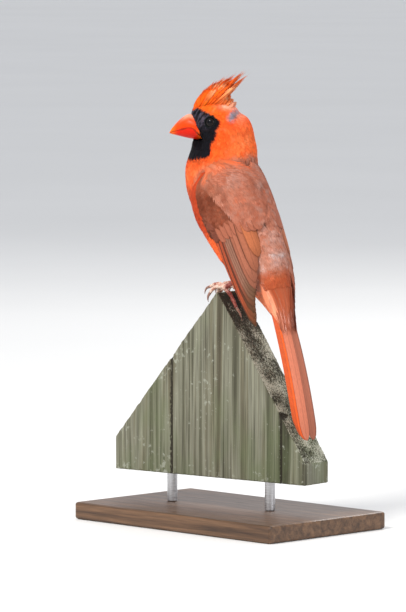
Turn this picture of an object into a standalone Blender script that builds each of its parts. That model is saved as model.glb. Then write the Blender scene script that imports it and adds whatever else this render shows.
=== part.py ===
"""Male northern cardinal, life size, gripping the pointed top of a fence picket on a display stand.

Metres, +Z up. The bird faces -Y and its left side is +X. The origin is the centre of the stand's
underside, straight below the picket's point. Sizes below are millimetres and are scaled by MM.
"""

import math
import random

import bmesh
import bpy
from mathutils import Matrix, Vector

MM = 0.001
GAP = 0.3

# Stand and perch
BASE_LENGTH, BASE_WIDTH, BASE_THICK = 160.0, 96.0, 10.0
BASE_EDGE = 1.5
ROD_RADIUS, ROD_LENGTH, ROD_SEGMENTS = 3.0, 18.0, 20
ROD_PLACES = (("front", -42.0), ("rear", 30.0))
PICKET_THICK, PICKET_BELOW_POINT, PICKET_TURN = 23.0, 108.0, 7.0
PICKET_EDGE, SHARP_ANGLE = 0.7, 40.0
FRONT_SHOULDER = (-76.0, -89.0)
REAR_SHOULDER = (64.0, -96.0)
POINT_ROUND, POINT_STEPS = 1.5, 6
PERCH_TOP = BASE_THICK + ROD_LENGTH + PICKET_BELOW_POINT

# Body sections from the tail root up to the crown. Heights count from the picket's point.
# height, back, left, lean, turn, half width, back depth, front depth, front taper
BODY_KEYS = (
    (-8.5, 41.6, 0.0, 17.0, 0.0, 8.4, 5.6, 6.1, 0.0),
    (-2.0, 38.0, 0.0, 19.0, 0.0, 10.5, 8.8, 8.9, 0.0),
    (5.0, 33.2, 0.0, 22.0, 0.0, 12.5, 13.0, 12.6, 0.0),
    (13.0, 28.0, 0.0, 25.0, 0.0, 14.7, 16.8, 17.2, 0.0),
    (24.0, 20.3, 0.0, 27.0, 0.0, 17.3, 19.6, 21.2, 0.0),
    (36.0, 11.5, 0.0, 27.5, 0.0, 19.4, 20.5, 22.9, 0.0),
    (48.0, 4.5, 0.0, 27.0, 0.0, 20.4, 21.2, 23.8, 0.0),
    (58.0, -0.3, 0.0, 24.0, 0.0, 20.4, 20.6, 25.4, 0.0),
    (66.0, -3.6, 0.0, 18.0, 3.0, 19.4, 20.0, 25.8, 0.0),
    (74.0, -5.0, 0.2, 10.0, 12.0, 17.7, 21.6, 23.8, 0.0),
    (82.0, -5.2, 0.8, 4.0, 25.0, 16.0, 21.2, 18.8, 0.05),
    (88.0, -5.5, 1.3, 0.0, 33.0, 15.0, 20.2, 16.6, 0.15),
    (94.0, -5.7, 1.5, 0.0, 35.0, 14.4, 19.2, 16.2, 0.30),
    (99.0, -5.7, 1.5, 0.0, 35.0, 13.4, 17.2, 16.8, 0.36),
    (103.5, -5.7, 1.5, 0.0, 35.0, 11.4, 14.0, 17.2, 0.42),
    (106.6, -5.7, 1.5, 0.0, 35.0, 8.6, 10.2, 15.4, 0.42),
    (108.8, -5.7, 1.5, 0.0, 35.0, 4.8, 5.4, 10.8, 0.40),
)
CROWN_TOP = 109.8
CROWN_FORWARD = 2.6
RING_POINTS = 28
RINGS_PER_KEY = 2
HEAD_SECTIONS = 5
NECK_BASE = ((0.0, -3.6, 66.0), 18.0)
HEAD_BASE = ((0.8, -5.3, 84.5), 2.0)

# Head frame: forward, left and up from the head's own centre line
HEAD_CENTRE = (1.5, -5.7)
HEAD_TURN = 35.0
EYE_AT, EYE_RADIUS = (4.0, 10.3, 98.0), 3.7
# How far each eye looks forward and up for each millimetre out
EYE_FACING = (0.18, 0.1)
LID_RADIUS, LID_THICK, LID_OUT = 3.25, 0.58, 2.45
LID_STEPS, LID_AROUND = 14, 6

# Bill: forward, culmen height, gonys height, half width
BILL_KEYS = (
    (10.0, 99.6, 88.2, 6.3),
    (14.0, 101.6, 87.9, 6.5),
    (18.2, 102.5, 88.4, 5.8),
    (22.0, 100.6, 89.2, 4.7),
    (25.0, 98.0, 89.9, 3.6),
    (27.5, 95.3, 90.5, 2.3),
    (29.0, 93.3, 90.9, 1.2),
    (29.7, 92.0, 91.2, 0.4),
)
BILL_AROUND, BILL_STEPS = 14, 13
BILL_POINT, BILL_POINT_DROP = 0.35, 0.2
MOUTH_LINE = (
    (8.0, 88.0), (12.0, 91.0), (13.8, 93.4), (16.0, 94.9), (18.5, 94.7),
    (22.0, 93.8), (25.5, 92.8), (28.0, 92.2), (29.4, 91.4), (31.0, 90.0),
)
# The blocks that part the two halves of the bill
BLOCK_FRONT, BLOCK_REAR, BLOCK_MIDDLE, BLOCK_REAR_LEVEL = 32.0, 4.0, 96.0, 86.0
BLOCK_REACH, BLOCK_HALF_WIDTH = 20.0, 12.0
NOSTRIL_AT, NOSTRIL_RADIUS = (18.9, 3.7, 99.3), 0.9

# Folded wing: sections along its length of the sheet that its feathers lie on
WING_LENGTH, WING_LEAN = 93.5, 26.0
WING_START = (-4.0, 66.0)
# share of length, half width, half depth, lower edge angle, upper edge angle
WING_KEYS = (
    (0.00, 19.6, 20.4, 14.0, 34.0),
    (0.03, 20.3, 21.1, 1.0, 50.0),
    (0.08, 20.9, 21.6, -6.0, 60.0),
    (0.20, 21.3, 22.0, -9.0, 70.0),
    (0.35, 20.9, 21.4, -8.0, 72.0),
    (0.50, 20.0, 20.2, -7.0, 66.0),
    (0.67, 19.0, 18.0, -6.0, 52.0),
    (0.85, 18.0, 14.5, -4.0, 29.0),
    (1.00, 17.4, 11.5, -1.0, 9.0),
)
# How far the right wing is drawn in towards the body, for shares of its length
RIGHT_WING_TUCK = (
    (0.0, 2.2), (0.12, 2.2), (0.30, 0.8), (0.45, -0.2), (0.62, -1.5), (0.75, -1.0), (0.88, 1.8), (1.0, 5.0),
)
CORE_END, CORE_THICK, CORE_EDGE = 0.56, 3.3, 0.08
CORE_ROWS, CORE_COLUMNS = 11, 8
# For shares of the wing's length, the share of its full thickness
CORE_SWELL = ((0.0, 0.3), (0.1, 1.0), (0.27, 1.0), (0.5, 0.22), (1.0, 0.22))
# For each flight feather from the lowest up: its lower edge at the root as a share of the wing's
# span, the share of the wing's length at its tip, and its lower edge there
FLIGHT_FEATHERS = (
    (0.00, 0.905, 0.00), (0.025, 0.965, 0.00), (0.05, 1.000, 0.04), (0.08, 0.985, 0.22),
    (0.11, 0.955, 0.36), (0.14, 0.920, 0.45), (0.17, 0.885, 0.51), (0.205, 0.855, 0.56),
    (0.245, 0.832, 0.60), (0.29, 0.808, 0.63), (0.34, 0.785, 0.65), (0.41, 0.750, 0.66),
    (0.50, 0.690, 0.69), (0.62, 0.605, 0.76),
)
FLIGHT_WIDTH, FLIGHT_ROOT, FLIGHT_LIFTS, ROOT_GATHER = 7.6, 0.28, (1.15, 1.2), 0.95
# How a wing feather sweeps, how far past the wing's upper edge it may reach, and its point
FEATHER_SWEEP, SPAN_REACH, SPAN_MARGIN, POINT_ACROSS, POINT_RAISE = 1.4, 1.03, 0.6, 0.22, 0.1
# Rows of wing coverts: count, root share, tip share, first and last span share, width, lift at root and tip
COVERT_ROWS = (
    (3, 0.20, 0.415, 0.00, 0.10, 4.0, 1.3, 2.2),
    (7, 0.22, 0.455, 0.17, 0.83, 5.4, 1.3, 2.3),
    (2, 0.12, 0.330, 0.00, 0.07, 3.6, 1.8, 2.8),
    (6, 0.10, 0.295, 0.14, 0.80, 5.6, 1.9, 3.2),
)
VANE_THICK, VANE_EDGE, SHINGLE_TILT = 0.72, 0.52, 0.5
# Feather outlines: share of its length, share of its full width
FLIGHT_OUTLINE = ((0.0, 0.55), (0.38, 1.0), (0.76, 0.92), (0.93, 0.55))
COVERT_OUTLINE = ((0.0, 0.62), (0.5, 1.0), (0.87, 0.72))
TIP_STRAY, WIDTH_STRAY = 0.008, 0.05

# Tail
TAIL_ROOT, TAIL_TIP, TAIL_BOW = (33.5, 15.0), (64.5, -82.0), 3.0
TAIL_START_SHARE, TAIL_LENGTH = 0.235, 101.8
TAIL_PAIRS, TAIL_FEATHER_WIDTH, TAIL_LIFT, TAIL_STEP, TAIL_TILT = 6, 9.0, 1.0, 0.28, 0.25
TAIL_FIRST_OFFSET, TAIL_OFFSET, TAIL_GATHER = 0.5, 1.0, 0.78
TAIL_OUTLINE = ((0.0, 0.86), (0.34, 0.96), (0.72, 1.0), (0.93, 0.90), (0.985, 0.55))
# How much shorter each pair of tail feathers is, from the middle out
TAIL_SHORTER = (0.0, 0.4, 1.0, 2.0, 3.6, 6.0)
# The solid part that the tail feathers grow from: its section, and its half width along the tail
TAIL_CORE_SECTION = ((-1, 0.9), (0, 1.1), (1, 0.9), (1, -1.9), (-1, -1.9))
TAIL_CORE_WIDTHS = ((TAIL_START_SHARE, 6.4), (0.355, 6.4), (0.535, 3.0))

# Rows of feathers at the body's rear: count, middle angle from the back, spread, places of root and
# end among the body's sections, length past the end, width, lift at the tip
TAIL_COVERT_ROWS = (
    (5, 180.0, 52.0, 2.3, 0.0, 15.5, 6.4, -3.8),
    (6, 0.0, 74.0, 1.9, 0.0, 4.6, 6.2, 0.25),
    (7, 0.0, 86.0, 3.4, 1.75, 0.0, 7.2, 0.75),
)
COVERT_SUNK, COVERT_STEP, COVERT_DROOP, COVERT_POINT, ROW_ROUNDING = 1.1, 0.22, 0.1, 0.25, 0.25

# Crest feathers from the front back: root forward, tip forward, tip height
CREST_ROWS = (
    (16.2, 10.4, 116.2), (13.8, 3.8, 121.2), (11.2, -4.2, 124.6), (8.6, -12.6, 126.6),
    (6.0, -14.8, 123.2), (3.4, -8.8, 118.2), (0.8, -6.4, 114.2), (-2.6, -8.0, 110.6),
)
CREST_WIDTH, CREST_SPREAD, CREST_TIP_SPREAD, CREST_SUNK = 4.0, 3.1, 0.42, 1.6
CREST_BEND, CREST_MIDDLE_TURN, CREST_RISE, CREST_RIDGE = (1.2, 0.8), 0.45, 0.55, 0.12
CREST_OUTLINE = ((0.0, 0.6), (0.5, 1.0), (0.84, 0.62))

# Legs and feet
FOOT_SIDE, FOOT_BACK, SOLE_HEIGHT = 5.0, 1.0, 2.4
PAD_SIZE = (1.95, 2.0, 1.75)
MIDDLE_TOE = ((-1.5, 2.4), (4.0, 4.2), (7.8, 3.7), (10.8, 2.4))
SIDE_TOE = ((-1.0, 2.3), (4.4, 2.9), (7.2, 1.5), (8.8, -0.6))
HIND_TOE = ((1.0, 2.1), (-3.0, -0.6), (-6.0, -4.9), (-8.3, -8.9))
MIDDLE_CLAW = ((10.8, 2.4), (13.2, 1.6), (14.6, -0.2), (14.9, -2.2))
SIDE_CLAW = ((8.8, -0.6), (10.0, -2.6), (10.3, -4.6), (9.9, -6.3))
HIND_CLAW = ((-8.3, -8.9), (-10.2, -11.2), (-11.7, -13.9), (-12.4, -16.4))
TOES = (
    ("middle", MIDDLE_TOE, MIDDLE_CLAW, 0.0),
    ("inner", SIDE_TOE, SIDE_CLAW, -24.0),
    ("outer", SIDE_TOE, SIDE_CLAW, 24.0),
    ("hind", HIND_TOE, HIND_CLAW, 0.0),
)
TOE_RADIUS, TOE_ROOT, TOE_TAPER = 1.2, 1.12, 0.32
CLAW_RADII, CLAW_CLEAR = (0.85, 0.68, 0.42, 0.16), 0.45
SHANK_RADIUS, SHANK_FLARE, SHANK_BEND = 1.25, 1.1, (0.0, 0.4, -0.3)
ANKLE = (7.2, 13.8, 8.8)
SOCKET_CLEAR, SOCKET_END_CLEAR = 0.4, 0.75
THIGH_CENTRE, THIGH_SIZE, THIGH_TILT = (7.4, 16.8, 9.6), (4.7, 7.4, 4.9), 24.0

# Segments and rings of the balls, and how close points are welded
EYE_BALL, THIGH_BALL, PAD_BALL, NOSTRIL_BALL = (16, 10), (16, 10), (10, 7), (10, 6)
SURFACE_WELD, CAP_WELD = 0.002, 0.001

SCARLET, BRICK, BLACK = (0.72, 0.09, 0.03), (0.45, 0.13, 0.09), (0.012, 0.012, 0.016)
CORAL, FLESH, HORN = (0.85, 0.18, 0.04), (0.62, 0.36, 0.30), (0.12, 0.09, 0.08)
GREY_WOOD, DARK_WOOD, STEEL = (0.32, 0.31, 0.27), (0.20, 0.11, 0.06), (0.6, 0.6, 0.6)


def clear_scene():
    for old in list(bpy.data.objects):
        bpy.data.objects.remove(old)


def make_material(name, colour, roughness, metallic=0.0):
    material = bpy.data.materials.new(name)
    material.use_nodes = True
    shader = material.node_tree.nodes["Principled BSDF"]
    shader.inputs["Base Color"].default_value = (*colour, 1.0)
    shader.inputs["Roughness"].default_value = roughness
    shader.inputs["Metallic"].default_value = metallic
    return material


def make_collection(name):
    collection = bpy.data.collections.new(name)
    bpy.context.scene.collection.children.link(collection)
    return collection


def add_object(name, mesh, collection, material=None):
    made = bpy.data.objects.new(name, mesh)
    collection.objects.link(made)
    if material:
        made.data.materials.append(material)
    return made


def mesh_from(name, points, faces):
    """A closed mesh facing out, from points in millimetres above the picket's point."""
    mesh = bpy.data.meshes.new(name)
    shape = bmesh.new()
    vertices = [shape.verts.new((p[0] * MM, p[1] * MM, (p[2] + PERCH_TOP) * MM)) for p in points]
    for face in faces:
        shape.faces.new([vertices[i] for i in face])
    bmesh.ops.recalc_face_normals(shape, faces=shape.faces)
    shape.to_mesh(mesh)
    shape.free()
    return mesh


def loft(name, rings, end_point=None):
    """A closed skin through rings of equal count, flat at its start, closed to a point at its end."""
    count = len(rings[0])
    points = [p for ring in rings for p in ring]
    faces = []
    for i in range(len(rings) - 1):
        for k in range(count):
            a, b = i * count + k, i * count + (k + 1) % count
            faces.append((a, b, b + count, a + count))
    faces.append(tuple(range(count)))
    last = (len(rings) - 1) * count
    if end_point is None:
        faces.append(tuple(last + k for k in range(count)))
    else:
        points.append(end_point)
        faces += [(last + k, last + (k + 1) % count, len(points) - 1) for k in range(count)]
    return mesh_from(name, points, faces)


def evaluated_mesh(thing):
    bpy.context.view_layer.update()
    graph = bpy.context.evaluated_depsgraph_get()
    return bpy.data.meshes.new_from_object(thing.evaluated_get(graph))


def apply_boolean(thing, others, operation):
    """Joins or cuts thing with other closed meshes, and removes them."""
    helpers = make_collection("helpers")
    for other in others:
        for owner in list(other.users_collection):
            owner.objects.unlink(other)
        helpers.objects.link(other)
    modifier = thing.modifiers.new("join", "BOOLEAN")
    modifier.operation = operation
    modifier.solver = "EXACT"
    modifier.operand_type = "COLLECTION"
    modifier.collection = helpers
    mesh = evaluated_mesh(thing)
    thing.modifiers.clear()
    thing.data = mesh
    for other in others:
        bpy.data.objects.remove(other)
    bpy.data.collections.remove(helpers)
    return thing


def keep_largest(thing):
    """Keeps the largest closed surface of a mesh."""
    shape = bmesh.new()
    shape.from_mesh(thing.data)
    bmesh.ops.remove_doubles(shape, verts=shape.verts, dist=SURFACE_WELD * MM)
    groups, seen = [], set()
    for start in shape.verts:
        if start in seen:
            continue
        group, open_list = [], [start]
        seen.add(start)
        while open_list:
            vertex = open_list.pop()
            group.append(vertex)
            for edge in vertex.link_edges:
                other = edge.other_vert(vertex)
                if other not in seen:
                    seen.add(other)
                    open_list.append(other)
        groups.append(group)
    groups.sort(key=lambda group: extent(group), reverse=True)
    loose = [vertex for group in groups[1:] for vertex in group]
    bmesh.ops.delete(shape, geom=loose, context="VERTS")
    shape.to_mesh(thing.data)
    shape.free()
    return thing


def extent(vertices):
    lows = [min(v.co[axis] for v in vertices) for axis in range(3)]
    highs = [max(v.co[axis] for v in vertices) for axis in range(3)]
    return sum((high - low) ** 2 for low, high in zip(lows, highs))


def smooth_between(keys, place):
    """Catmull-Rom through the keys, at a place counted in keys."""
    index = min(int(place), len(keys) - 2)
    t = place - index
    before = keys[max(index - 1, 0)]
    after = keys[min(index + 2, len(keys) - 1)]
    start, end = keys[index], keys[index + 1]
    return [
        0.5 * (2 * b + (c - a) * t + (2 * a - 5 * b + 4 * c - d) * t * t + (3 * b - a - 3 * c + d) * t**3)
        for a, b, c, d in zip(before, start, end, after)
    ]


def at_share(keys, share):
    """The key columns after the first, at a value of the first column."""
    index = 0
    while index < len(keys) - 2 and share > keys[index + 1][0]:
        index += 1
    low, high = keys[index][0], keys[index + 1][0]
    return smooth_between(keys, index + min(max((share - low) / (high - low), 0.0), 1.0))[1:]


def straight_between(keys, share):
    """The second of each pair of keys, at a value of the first, on straight lines."""
    for (low, first), (high, second) in zip(keys, keys[1:]):
        if share <= high:
            return first + (second - first) * (share - low) / (high - low)
    return keys[-1][1]


# Feathers


def vane_mesh(name, stations, tip, thick=VANE_THICK, edge=VANE_EDGE):
    """A closed feather through stations of (lower edge, ridge, upper edge, outward), shut to a tip.

    Both faces are split into triangles the same way, so that they never cross.
    """
    points, faces = [], []
    for low, ridge, high, out in stations:
        points += [low + out * edge / 2, ridge + out * thick / 2, high + out * edge / 2]
        points += [high - out * edge / 2, ridge - out * thick / 2, low - out * edge / 2]
    for i in range(len(stations) - 1):
        a, b = i * 6, i * 6 + 6
        faces += [(a, a + 1, b + 1), (a, b + 1, b), (a + 1, a + 2, b + 2), (a + 1, b + 2, b + 1)]
        faces += [(a + 5, b + 4, a + 4), (a + 5, b + 5, b + 4), (a + 4, b + 3, a + 3), (a + 4, b + 4, b + 3)]
        faces += [(a + 2, a + 3, b + 3, b + 2), (a, b, b + 5, a + 5)]
    faces.append((0, 5, 4, 1))
    faces.append((1, 4, 3, 2))
    points.append(tip)
    last, end = (len(stations) - 1) * 6, len(points) - 1
    faces += [(last + k, last + (k + 1) % 6, end) for k in range(6)]
    return mesh_from(name, points, faces)


# Body, neck and head


def body_ring(place, grow=0.0):
    height, back, left, lean, turn, width, back_depth, front_depth, taper = smooth_between(BODY_KEYS, place)
    turned = Matrix.Rotation(math.radians(turn), 3, "Z")
    rear = turned @ Vector((0.0, math.cos(math.radians(lean)), math.sin(math.radians(lean))))
    side = turned @ Vector((1.0, 0.0, 0.0))
    ring = []
    for k in range(RING_POINTS):
        angle = 2 * math.pi * k / RING_POINTS
        ahead, across = math.cos(angle), math.sin(angle)
        depth = (front_depth if ahead > 0 else back_depth) + grow
        narrow = 1 - taper * max(ahead, 0.0) ** 2
        point = Vector((left, back, height)) - rear * (depth * ahead)
        ring.append(point + side * ((width + grow) * across * narrow))
    return ring


def body_mesh(name, grow=0.0):
    steps = (len(BODY_KEYS) - 1) * RINGS_PER_KEY
    rings = [body_ring(i / RINGS_PER_KEY, grow) for i in range(steps + 1)]
    if grow:
        rings = rings_from_tail_side(rings, grow)
    top = head_point(CROWN_FORWARD, 0.0, CROWN_TOP + grow)
    return loft(name, rings, top)


def rings_from_tail_side(rings, grow):
    """The same rings with the first one moved out past the flat end."""
    first = rings[0]
    away = (centre_of(first) - centre_of(rings[1])).normalized() * grow
    return [[point + away for point in first], *rings]


def centre_of(points):
    return sum((Vector(p) for p in points), Vector()) / len(points)


def head_point(forward, left, height):
    """A point given in the turned head's frame."""
    turned = Matrix.Rotation(math.radians(HEAD_TURN), 3, "Z")
    flat = turned @ Vector((left, -forward, 0.0))
    return Vector((HEAD_CENTRE[0] + flat.x, HEAD_CENTRE[1] + flat.y, height))


def slice_of(source, name, collection, material, planes):
    """A copy of the body kept on one side of each plane and closed flat there."""
    made = add_object(name, source.copy(), collection, material)
    shape = bmesh.new()
    shape.from_mesh(made.data)
    for (x, y, z), lean, sign in planes:
        normal = Vector((0.0, -math.sin(math.radians(lean)), math.cos(math.radians(lean)))) * sign
        point = Vector((x * MM, y * MM, (z + PERCH_TOP) * MM)) + normal * (GAP / 2 * MM)
        geometry = shape.verts[:] + shape.edges[:] + shape.faces[:]
        bmesh.ops.bisect_plane(shape, geom=geometry, plane_co=point, plane_no=-normal, clear_outer=True)
        open_edges = [edge for edge in shape.edges if edge.is_boundary]
        bmesh.ops.holes_fill(shape, edges=open_edges)
    bmesh.ops.recalc_face_normals(shape, faces=shape.faces)
    shape.to_mesh(made.data)
    shape.free()
    return made


def ball(name, centre, sizes, collection, counts, turned=Matrix()):
    """A closed ellipsoid, its centre in millimetres above the picket's point."""
    segments, rings = counts
    mesh = bpy.data.meshes.new(name)
    shape = bmesh.new()
    bmesh.ops.create_uvsphere(shape, u_segments=segments, v_segments=rings, radius=1.0)
    scaling = Matrix.Diagonal((sizes[0] * MM, sizes[1] * MM, sizes[2] * MM, 1.0))
    moving = Matrix.Translation((centre[0] * MM, centre[1] * MM, (centre[2] + PERCH_TOP) * MM))
    bmesh.ops.transform(shape, matrix=moving @ turned @ scaling, verts=shape.verts)
    shape.to_mesh(mesh)
    shape.free()
    return add_object(name, mesh, collection)


def lid_ring(name, centre, outward, collection):
    """The rim of the eyelids round an eye."""
    steps, around = LID_STEPS, LID_AROUND
    axis = outward.normalized()
    up = (Vector((0, 0, 1)) - axis * axis.z).normalized()
    along = up.cross(axis)
    points, faces = [], []
    for i in range(steps):
        angle = 2 * math.pi * i / steps
        radial = along * math.cos(angle) + up * math.sin(angle)
        for k in range(around):
            turn = 2 * math.pi * k / around
            reach = LID_RADIUS + LID_THICK * math.cos(turn)
            points.append(centre + radial * reach + axis * (LID_THICK * math.sin(turn)))
    for i in range(steps):
        for k in range(around):
            a, b = i * around + k, i * around + (k + 1) % around
            c, d = (i + 1) % steps * around + (k + 1) % around, (i + 1) % steps * around + k
            faces.append((a, b, c, d))
    return add_object(name, mesh_from(name, points, faces), collection)


def eye_centre(side):
    return head_point(EYE_AT[0], EYE_AT[1] * side, EYE_AT[2])


def make_eye(side, name, parts, material):
    eye = ball(name, eye_centre(side), (EYE_RADIUS,) * 3, parts, EYE_BALL)
    eye.data.materials.append(material)
    return eye


def crown_height(forward):
    """The height of the crown's ridge at a place forward of the head's centre line."""
    best = CROWN_TOP
    for place in range(len(BODY_KEYS) - HEAD_SECTIONS, len(BODY_KEYS)):
        height, front, rear = BODY_KEYS[place][0], BODY_KEYS[place][7], BODY_KEYS[place][6]
        if -rear <= forward <= front:
            best = height
    return best


def crest_feather(row, across, length, draw):
    """A crest feather: it rises from the crown and sweeps back to its own tip."""
    root_forward, tip_forward, tip_height = row
    root = head_point(root_forward, across * CREST_SPREAD, crown_height(root_forward) - CREST_SUNK)
    stray = draw.uniform(-0.4, 0.4)
    tip = head_point(tip_forward, across * CREST_SPREAD * CREST_TIP_SPREAD + stray, tip_height)
    tip = root + (tip - root) * length
    bend = head_point(CREST_BEND[0], 0.0, CREST_BEND[1]) - head_point(0.0, 0.0, 0.0)
    stations = []
    for along, full in CREST_OUTLINE:
        point = root + (tip - root) * along + bend * (4 * along * (1 - along))
        ahead = (tip - root + bend * (4 - 8 * along)).normalized()
        flat = head_point(0.0, across or CREST_MIDDLE_TURN, 0.0) - head_point(0.0, 0.0, 0.0)
        facing = flat + Vector((0.0, 0.0, CREST_RISE))
        outward = (facing - ahead * facing.dot(ahead)).normalized()
        wide = outward.cross(ahead) * (CREST_WIDTH * full / 2)
        stations.append((point - wide, point + outward * CREST_RIDGE, point + wide, outward))
    return vane_mesh("feather", stations, tip)


def crest_feathers(draw):
    feathers = []
    for row in CREST_ROWS:
        for across in (-1.0, 0.0, 1.0):
            length = draw.uniform(0.97, 1.0) if across == 0 else draw.uniform(0.82, 0.96)
            feathers.append(crest_feather(row, across, length, draw))
    return feathers


# Bill


def bill_mesh(name, grow=0.0):
    """The whole bill, shut, as one cone of oval sections."""
    rings = []
    for i in range(BILL_STEPS + 1):
        place = i * (len(BILL_KEYS) - 1) / BILL_STEPS
        forward, culmen, gonys, width = smooth_between(BILL_KEYS, place)
        middle, tall = (culmen + gonys) / 2, (culmen - gonys) / 2 + grow
        ring = []
        for k in range(BILL_AROUND):
            angle = 2 * math.pi * k / BILL_AROUND
            across = (width + grow) * math.sin(angle)
            ring.append(head_point(forward, across, middle + tall * math.cos(angle)))
        rings.append(ring)
    forward, culmen, gonys, _ = BILL_KEYS[-1]
    point = head_point(forward + BILL_POINT + grow, 0.0, (culmen + gonys) / 2 - BILL_POINT_DROP)
    return loft(name, rings, point)


def mouth_cutter(name, above, collection):
    """A block that fills one side of the mouth line, half a gap past it."""
    sign = 1 if above else -1
    shift = -sign * GAP / 2
    line = [(forward, height + shift) for forward, height in MOUTH_LINE]
    far = BLOCK_MIDDLE + sign * BLOCK_REACH
    outline = [*line, (BLOCK_FRONT, far), (BLOCK_REAR, far), (BLOCK_REAR, BLOCK_REAR_LEVEL + shift)]
    points = [head_point(f, side * BLOCK_HALF_WIDTH, z) for side in (-1, 1) for f, z in outline]
    count = len(outline)
    faces = [tuple(range(count)), tuple(range(count, 2 * count))]
    faces += [(k, (k + 1) % count, (k + 1) % count + count, k + count) for k in range(count)]
    return add_object(name, mesh_from(name, points, faces), collection)


def make_bill(parts, materials):
    upper = add_object("bill_upper", bill_mesh("bill_upper"), parts, materials["coral"])
    apply_boolean(upper, [mouth_cutter("below_mouth", False, parts)], "DIFFERENCE")
    nostrils = []
    for side in (-1, 1):
        centre = head_point(NOSTRIL_AT[0], NOSTRIL_AT[1] * side, NOSTRIL_AT[2])
        nostrils.append(ball("nostril", centre, (NOSTRIL_RADIUS,) * 3, parts, NOSTRIL_BALL))
    apply_boolean(upper, nostrils, "DIFFERENCE")
    lower = add_object("bill_lower", bill_mesh("bill_lower"), parts, materials["coral"])
    apply_boolean(lower, [mouth_cutter("above_mouth", True, parts)], "DIFFERENCE")
    keep_largest(upper)
    keep_largest(lower)


# Wings


def wing_point(side, share, across, out):
    """A point of a folded wing: a share of its length, millimetres up from its lower edge, and out."""
    width, depth, low, high = at_share(WING_KEYS, share)
    if side < 0:
        width -= straight_between(RIGHT_WING_TUCK, share)
    angle = math.radians(low) + across / width
    lean = math.radians(WING_LEAN)
    run = share * WING_LENGTH
    middle = Vector((0.0, WING_START[0] + run * math.sin(lean), WING_START[1] - run * math.cos(lean)))
    rear = Vector((0.0, math.cos(lean), math.sin(lean)))
    flat = Vector((side * width * math.cos(angle), 0.0, 0.0)) + rear * (depth * math.sin(angle))
    outward = Vector((side * math.cos(angle) / width, 0.0, 0.0)) + rear * (math.sin(angle) / depth)
    return middle + flat + outward.normalized() * out


def wing_span(share):
    """How far a wing reaches up from its lower edge, in millimetres."""
    width, _, low, high = at_share(WING_KEYS, share)
    return math.radians(high - low) * width


def wing_core(name, side, end_share, thick):
    """The smooth body of a wing, closed on all sides."""
    rows, columns = CORE_ROWS, CORE_COLUMNS
    points, faces = [], []
    for layer in range(2):
        for i in range(rows + 1):
            share = end_share * i / rows
            swell = thick * straight_between(CORE_SWELL, share)
            for j in range(columns + 1):
                edge = math.sqrt(math.sin(math.pi * (CORE_EDGE + (1 - 2 * CORE_EDGE) * j / columns)))
                out = swell * edge if layer else 0.0
                points.append(wing_point(side, share, wing_span(share) * j / columns, out))
    per = (rows + 1) * (columns + 1)

    def index(layer, i, j):
        return layer * per + i * (columns + 1) + j

    for layer in range(2):
        for i in range(rows):
            for j in range(columns):
                a, b = index(layer, i, j), index(layer, i, j + 1)
                c, d = index(layer, i + 1, j + 1), index(layer, i + 1, j)
                faces += [(a, b, c), (a, c, d)]
    for i in range(rows):
        for j in (0, columns):
            faces.append((index(0, i, j), index(0, i + 1, j), index(1, i + 1, j), index(1, i, j)))
    for j in range(columns):
        for i in (0, rows):
            faces.append((index(0, i, j), index(0, i, j + 1), index(1, i, j + 1), index(1, i, j)))
    return mesh_from(name, points, faces)


def wing_feather(side, outline, root, tip, width, lifts):
    """A feather on a wing. Its root and tip are shares of the wing's length and of its span there."""
    stations = []
    for along, full in outline:
        share = root[0] + (tip[0] - root[0]) * along
        low = (root[1] + (tip[1] - root[1]) * along**FEATHER_SWEEP) * wing_span(share)
        out = lifts[0] + (lifts[1] - lifts[0]) * along
        wide = min(width * full, SPAN_REACH * wing_span(share) + SPAN_MARGIN - low)
        edges = [wing_point(side, share, low + wide * k / 2, out + SHINGLE_TILT * (1 - k)) for k in range(3)]
        outward = (wing_point(side, share, low + wide / 2, out + 1) - edges[1]).normalized()
        stations.append((*edges, outward))
    end = tip[1] * wing_span(tip[0]) + width * POINT_ACROSS
    return vane_mesh("feather", stations, wing_point(side, tip[0], end, lifts[1] + POINT_RAISE))


def wing_feathers(side, draw):
    """All the feathers of a wing that show, from the flight feathers out to the median coverts."""
    feathers = []
    for low, tip_share, tip_low in FLIGHT_FEATHERS:
        root, tip = (FLIGHT_ROOT, low * ROOT_GATHER), (tip_share, tip_low)
        feathers.append(wing_feather(side, FLIGHT_OUTLINE, root, tip, FLIGHT_WIDTH, FLIGHT_LIFTS))
    for count, start, end, first, last, width, low_lift, high_lift in COVERT_ROWS:
        for i in range(count):
            place = first + (last - first) * i / (count - 1)
            tip = (end + draw.uniform(-TIP_STRAY, TIP_STRAY), place)
            wide = width * draw.uniform(1 - WIDTH_STRAY, 1 + WIDTH_STRAY)
            lifts = (low_lift, high_lift)
            feathers.append(wing_feather(side, COVERT_OUTLINE, (start, place), tip, wide, lifts))
    return feathers


def make_wing(side, word, parts, material, body_clear):
    draw = random.Random(11 + side)
    wing = add_object(f"wing_{word}", wing_core(f"wing_{word}", side, CORE_END, CORE_THICK), parts, material)
    feathers = [add_object("feather", mesh, parts) for mesh in wing_feathers(side, draw)]
    apply_boolean(wing, feathers, "UNION")
    apply_boolean(wing, [add_object("body_clear", body_clear.copy(), parts)], "DIFFERENCE")
    keep_largest(wing)


# Tail


def tail_point(share, across, out):
    """A point of the tail: a share of its length, millimetres to the left, and out from its back."""
    drop = Vector((0.0, TAIL_TIP[0] - TAIL_ROOT[0], TAIL_TIP[1] - TAIL_ROOT[1]))
    normal = Vector((0.0, -drop.z, drop.y)).normalized()
    middle = Vector((0.0, TAIL_ROOT[0], TAIL_ROOT[1])) + drop * share
    bow = TAIL_BOW * math.sin(math.pi * share)
    return middle + Vector((across, 0.0, 0.0)) + normal * (out + bow)


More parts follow.
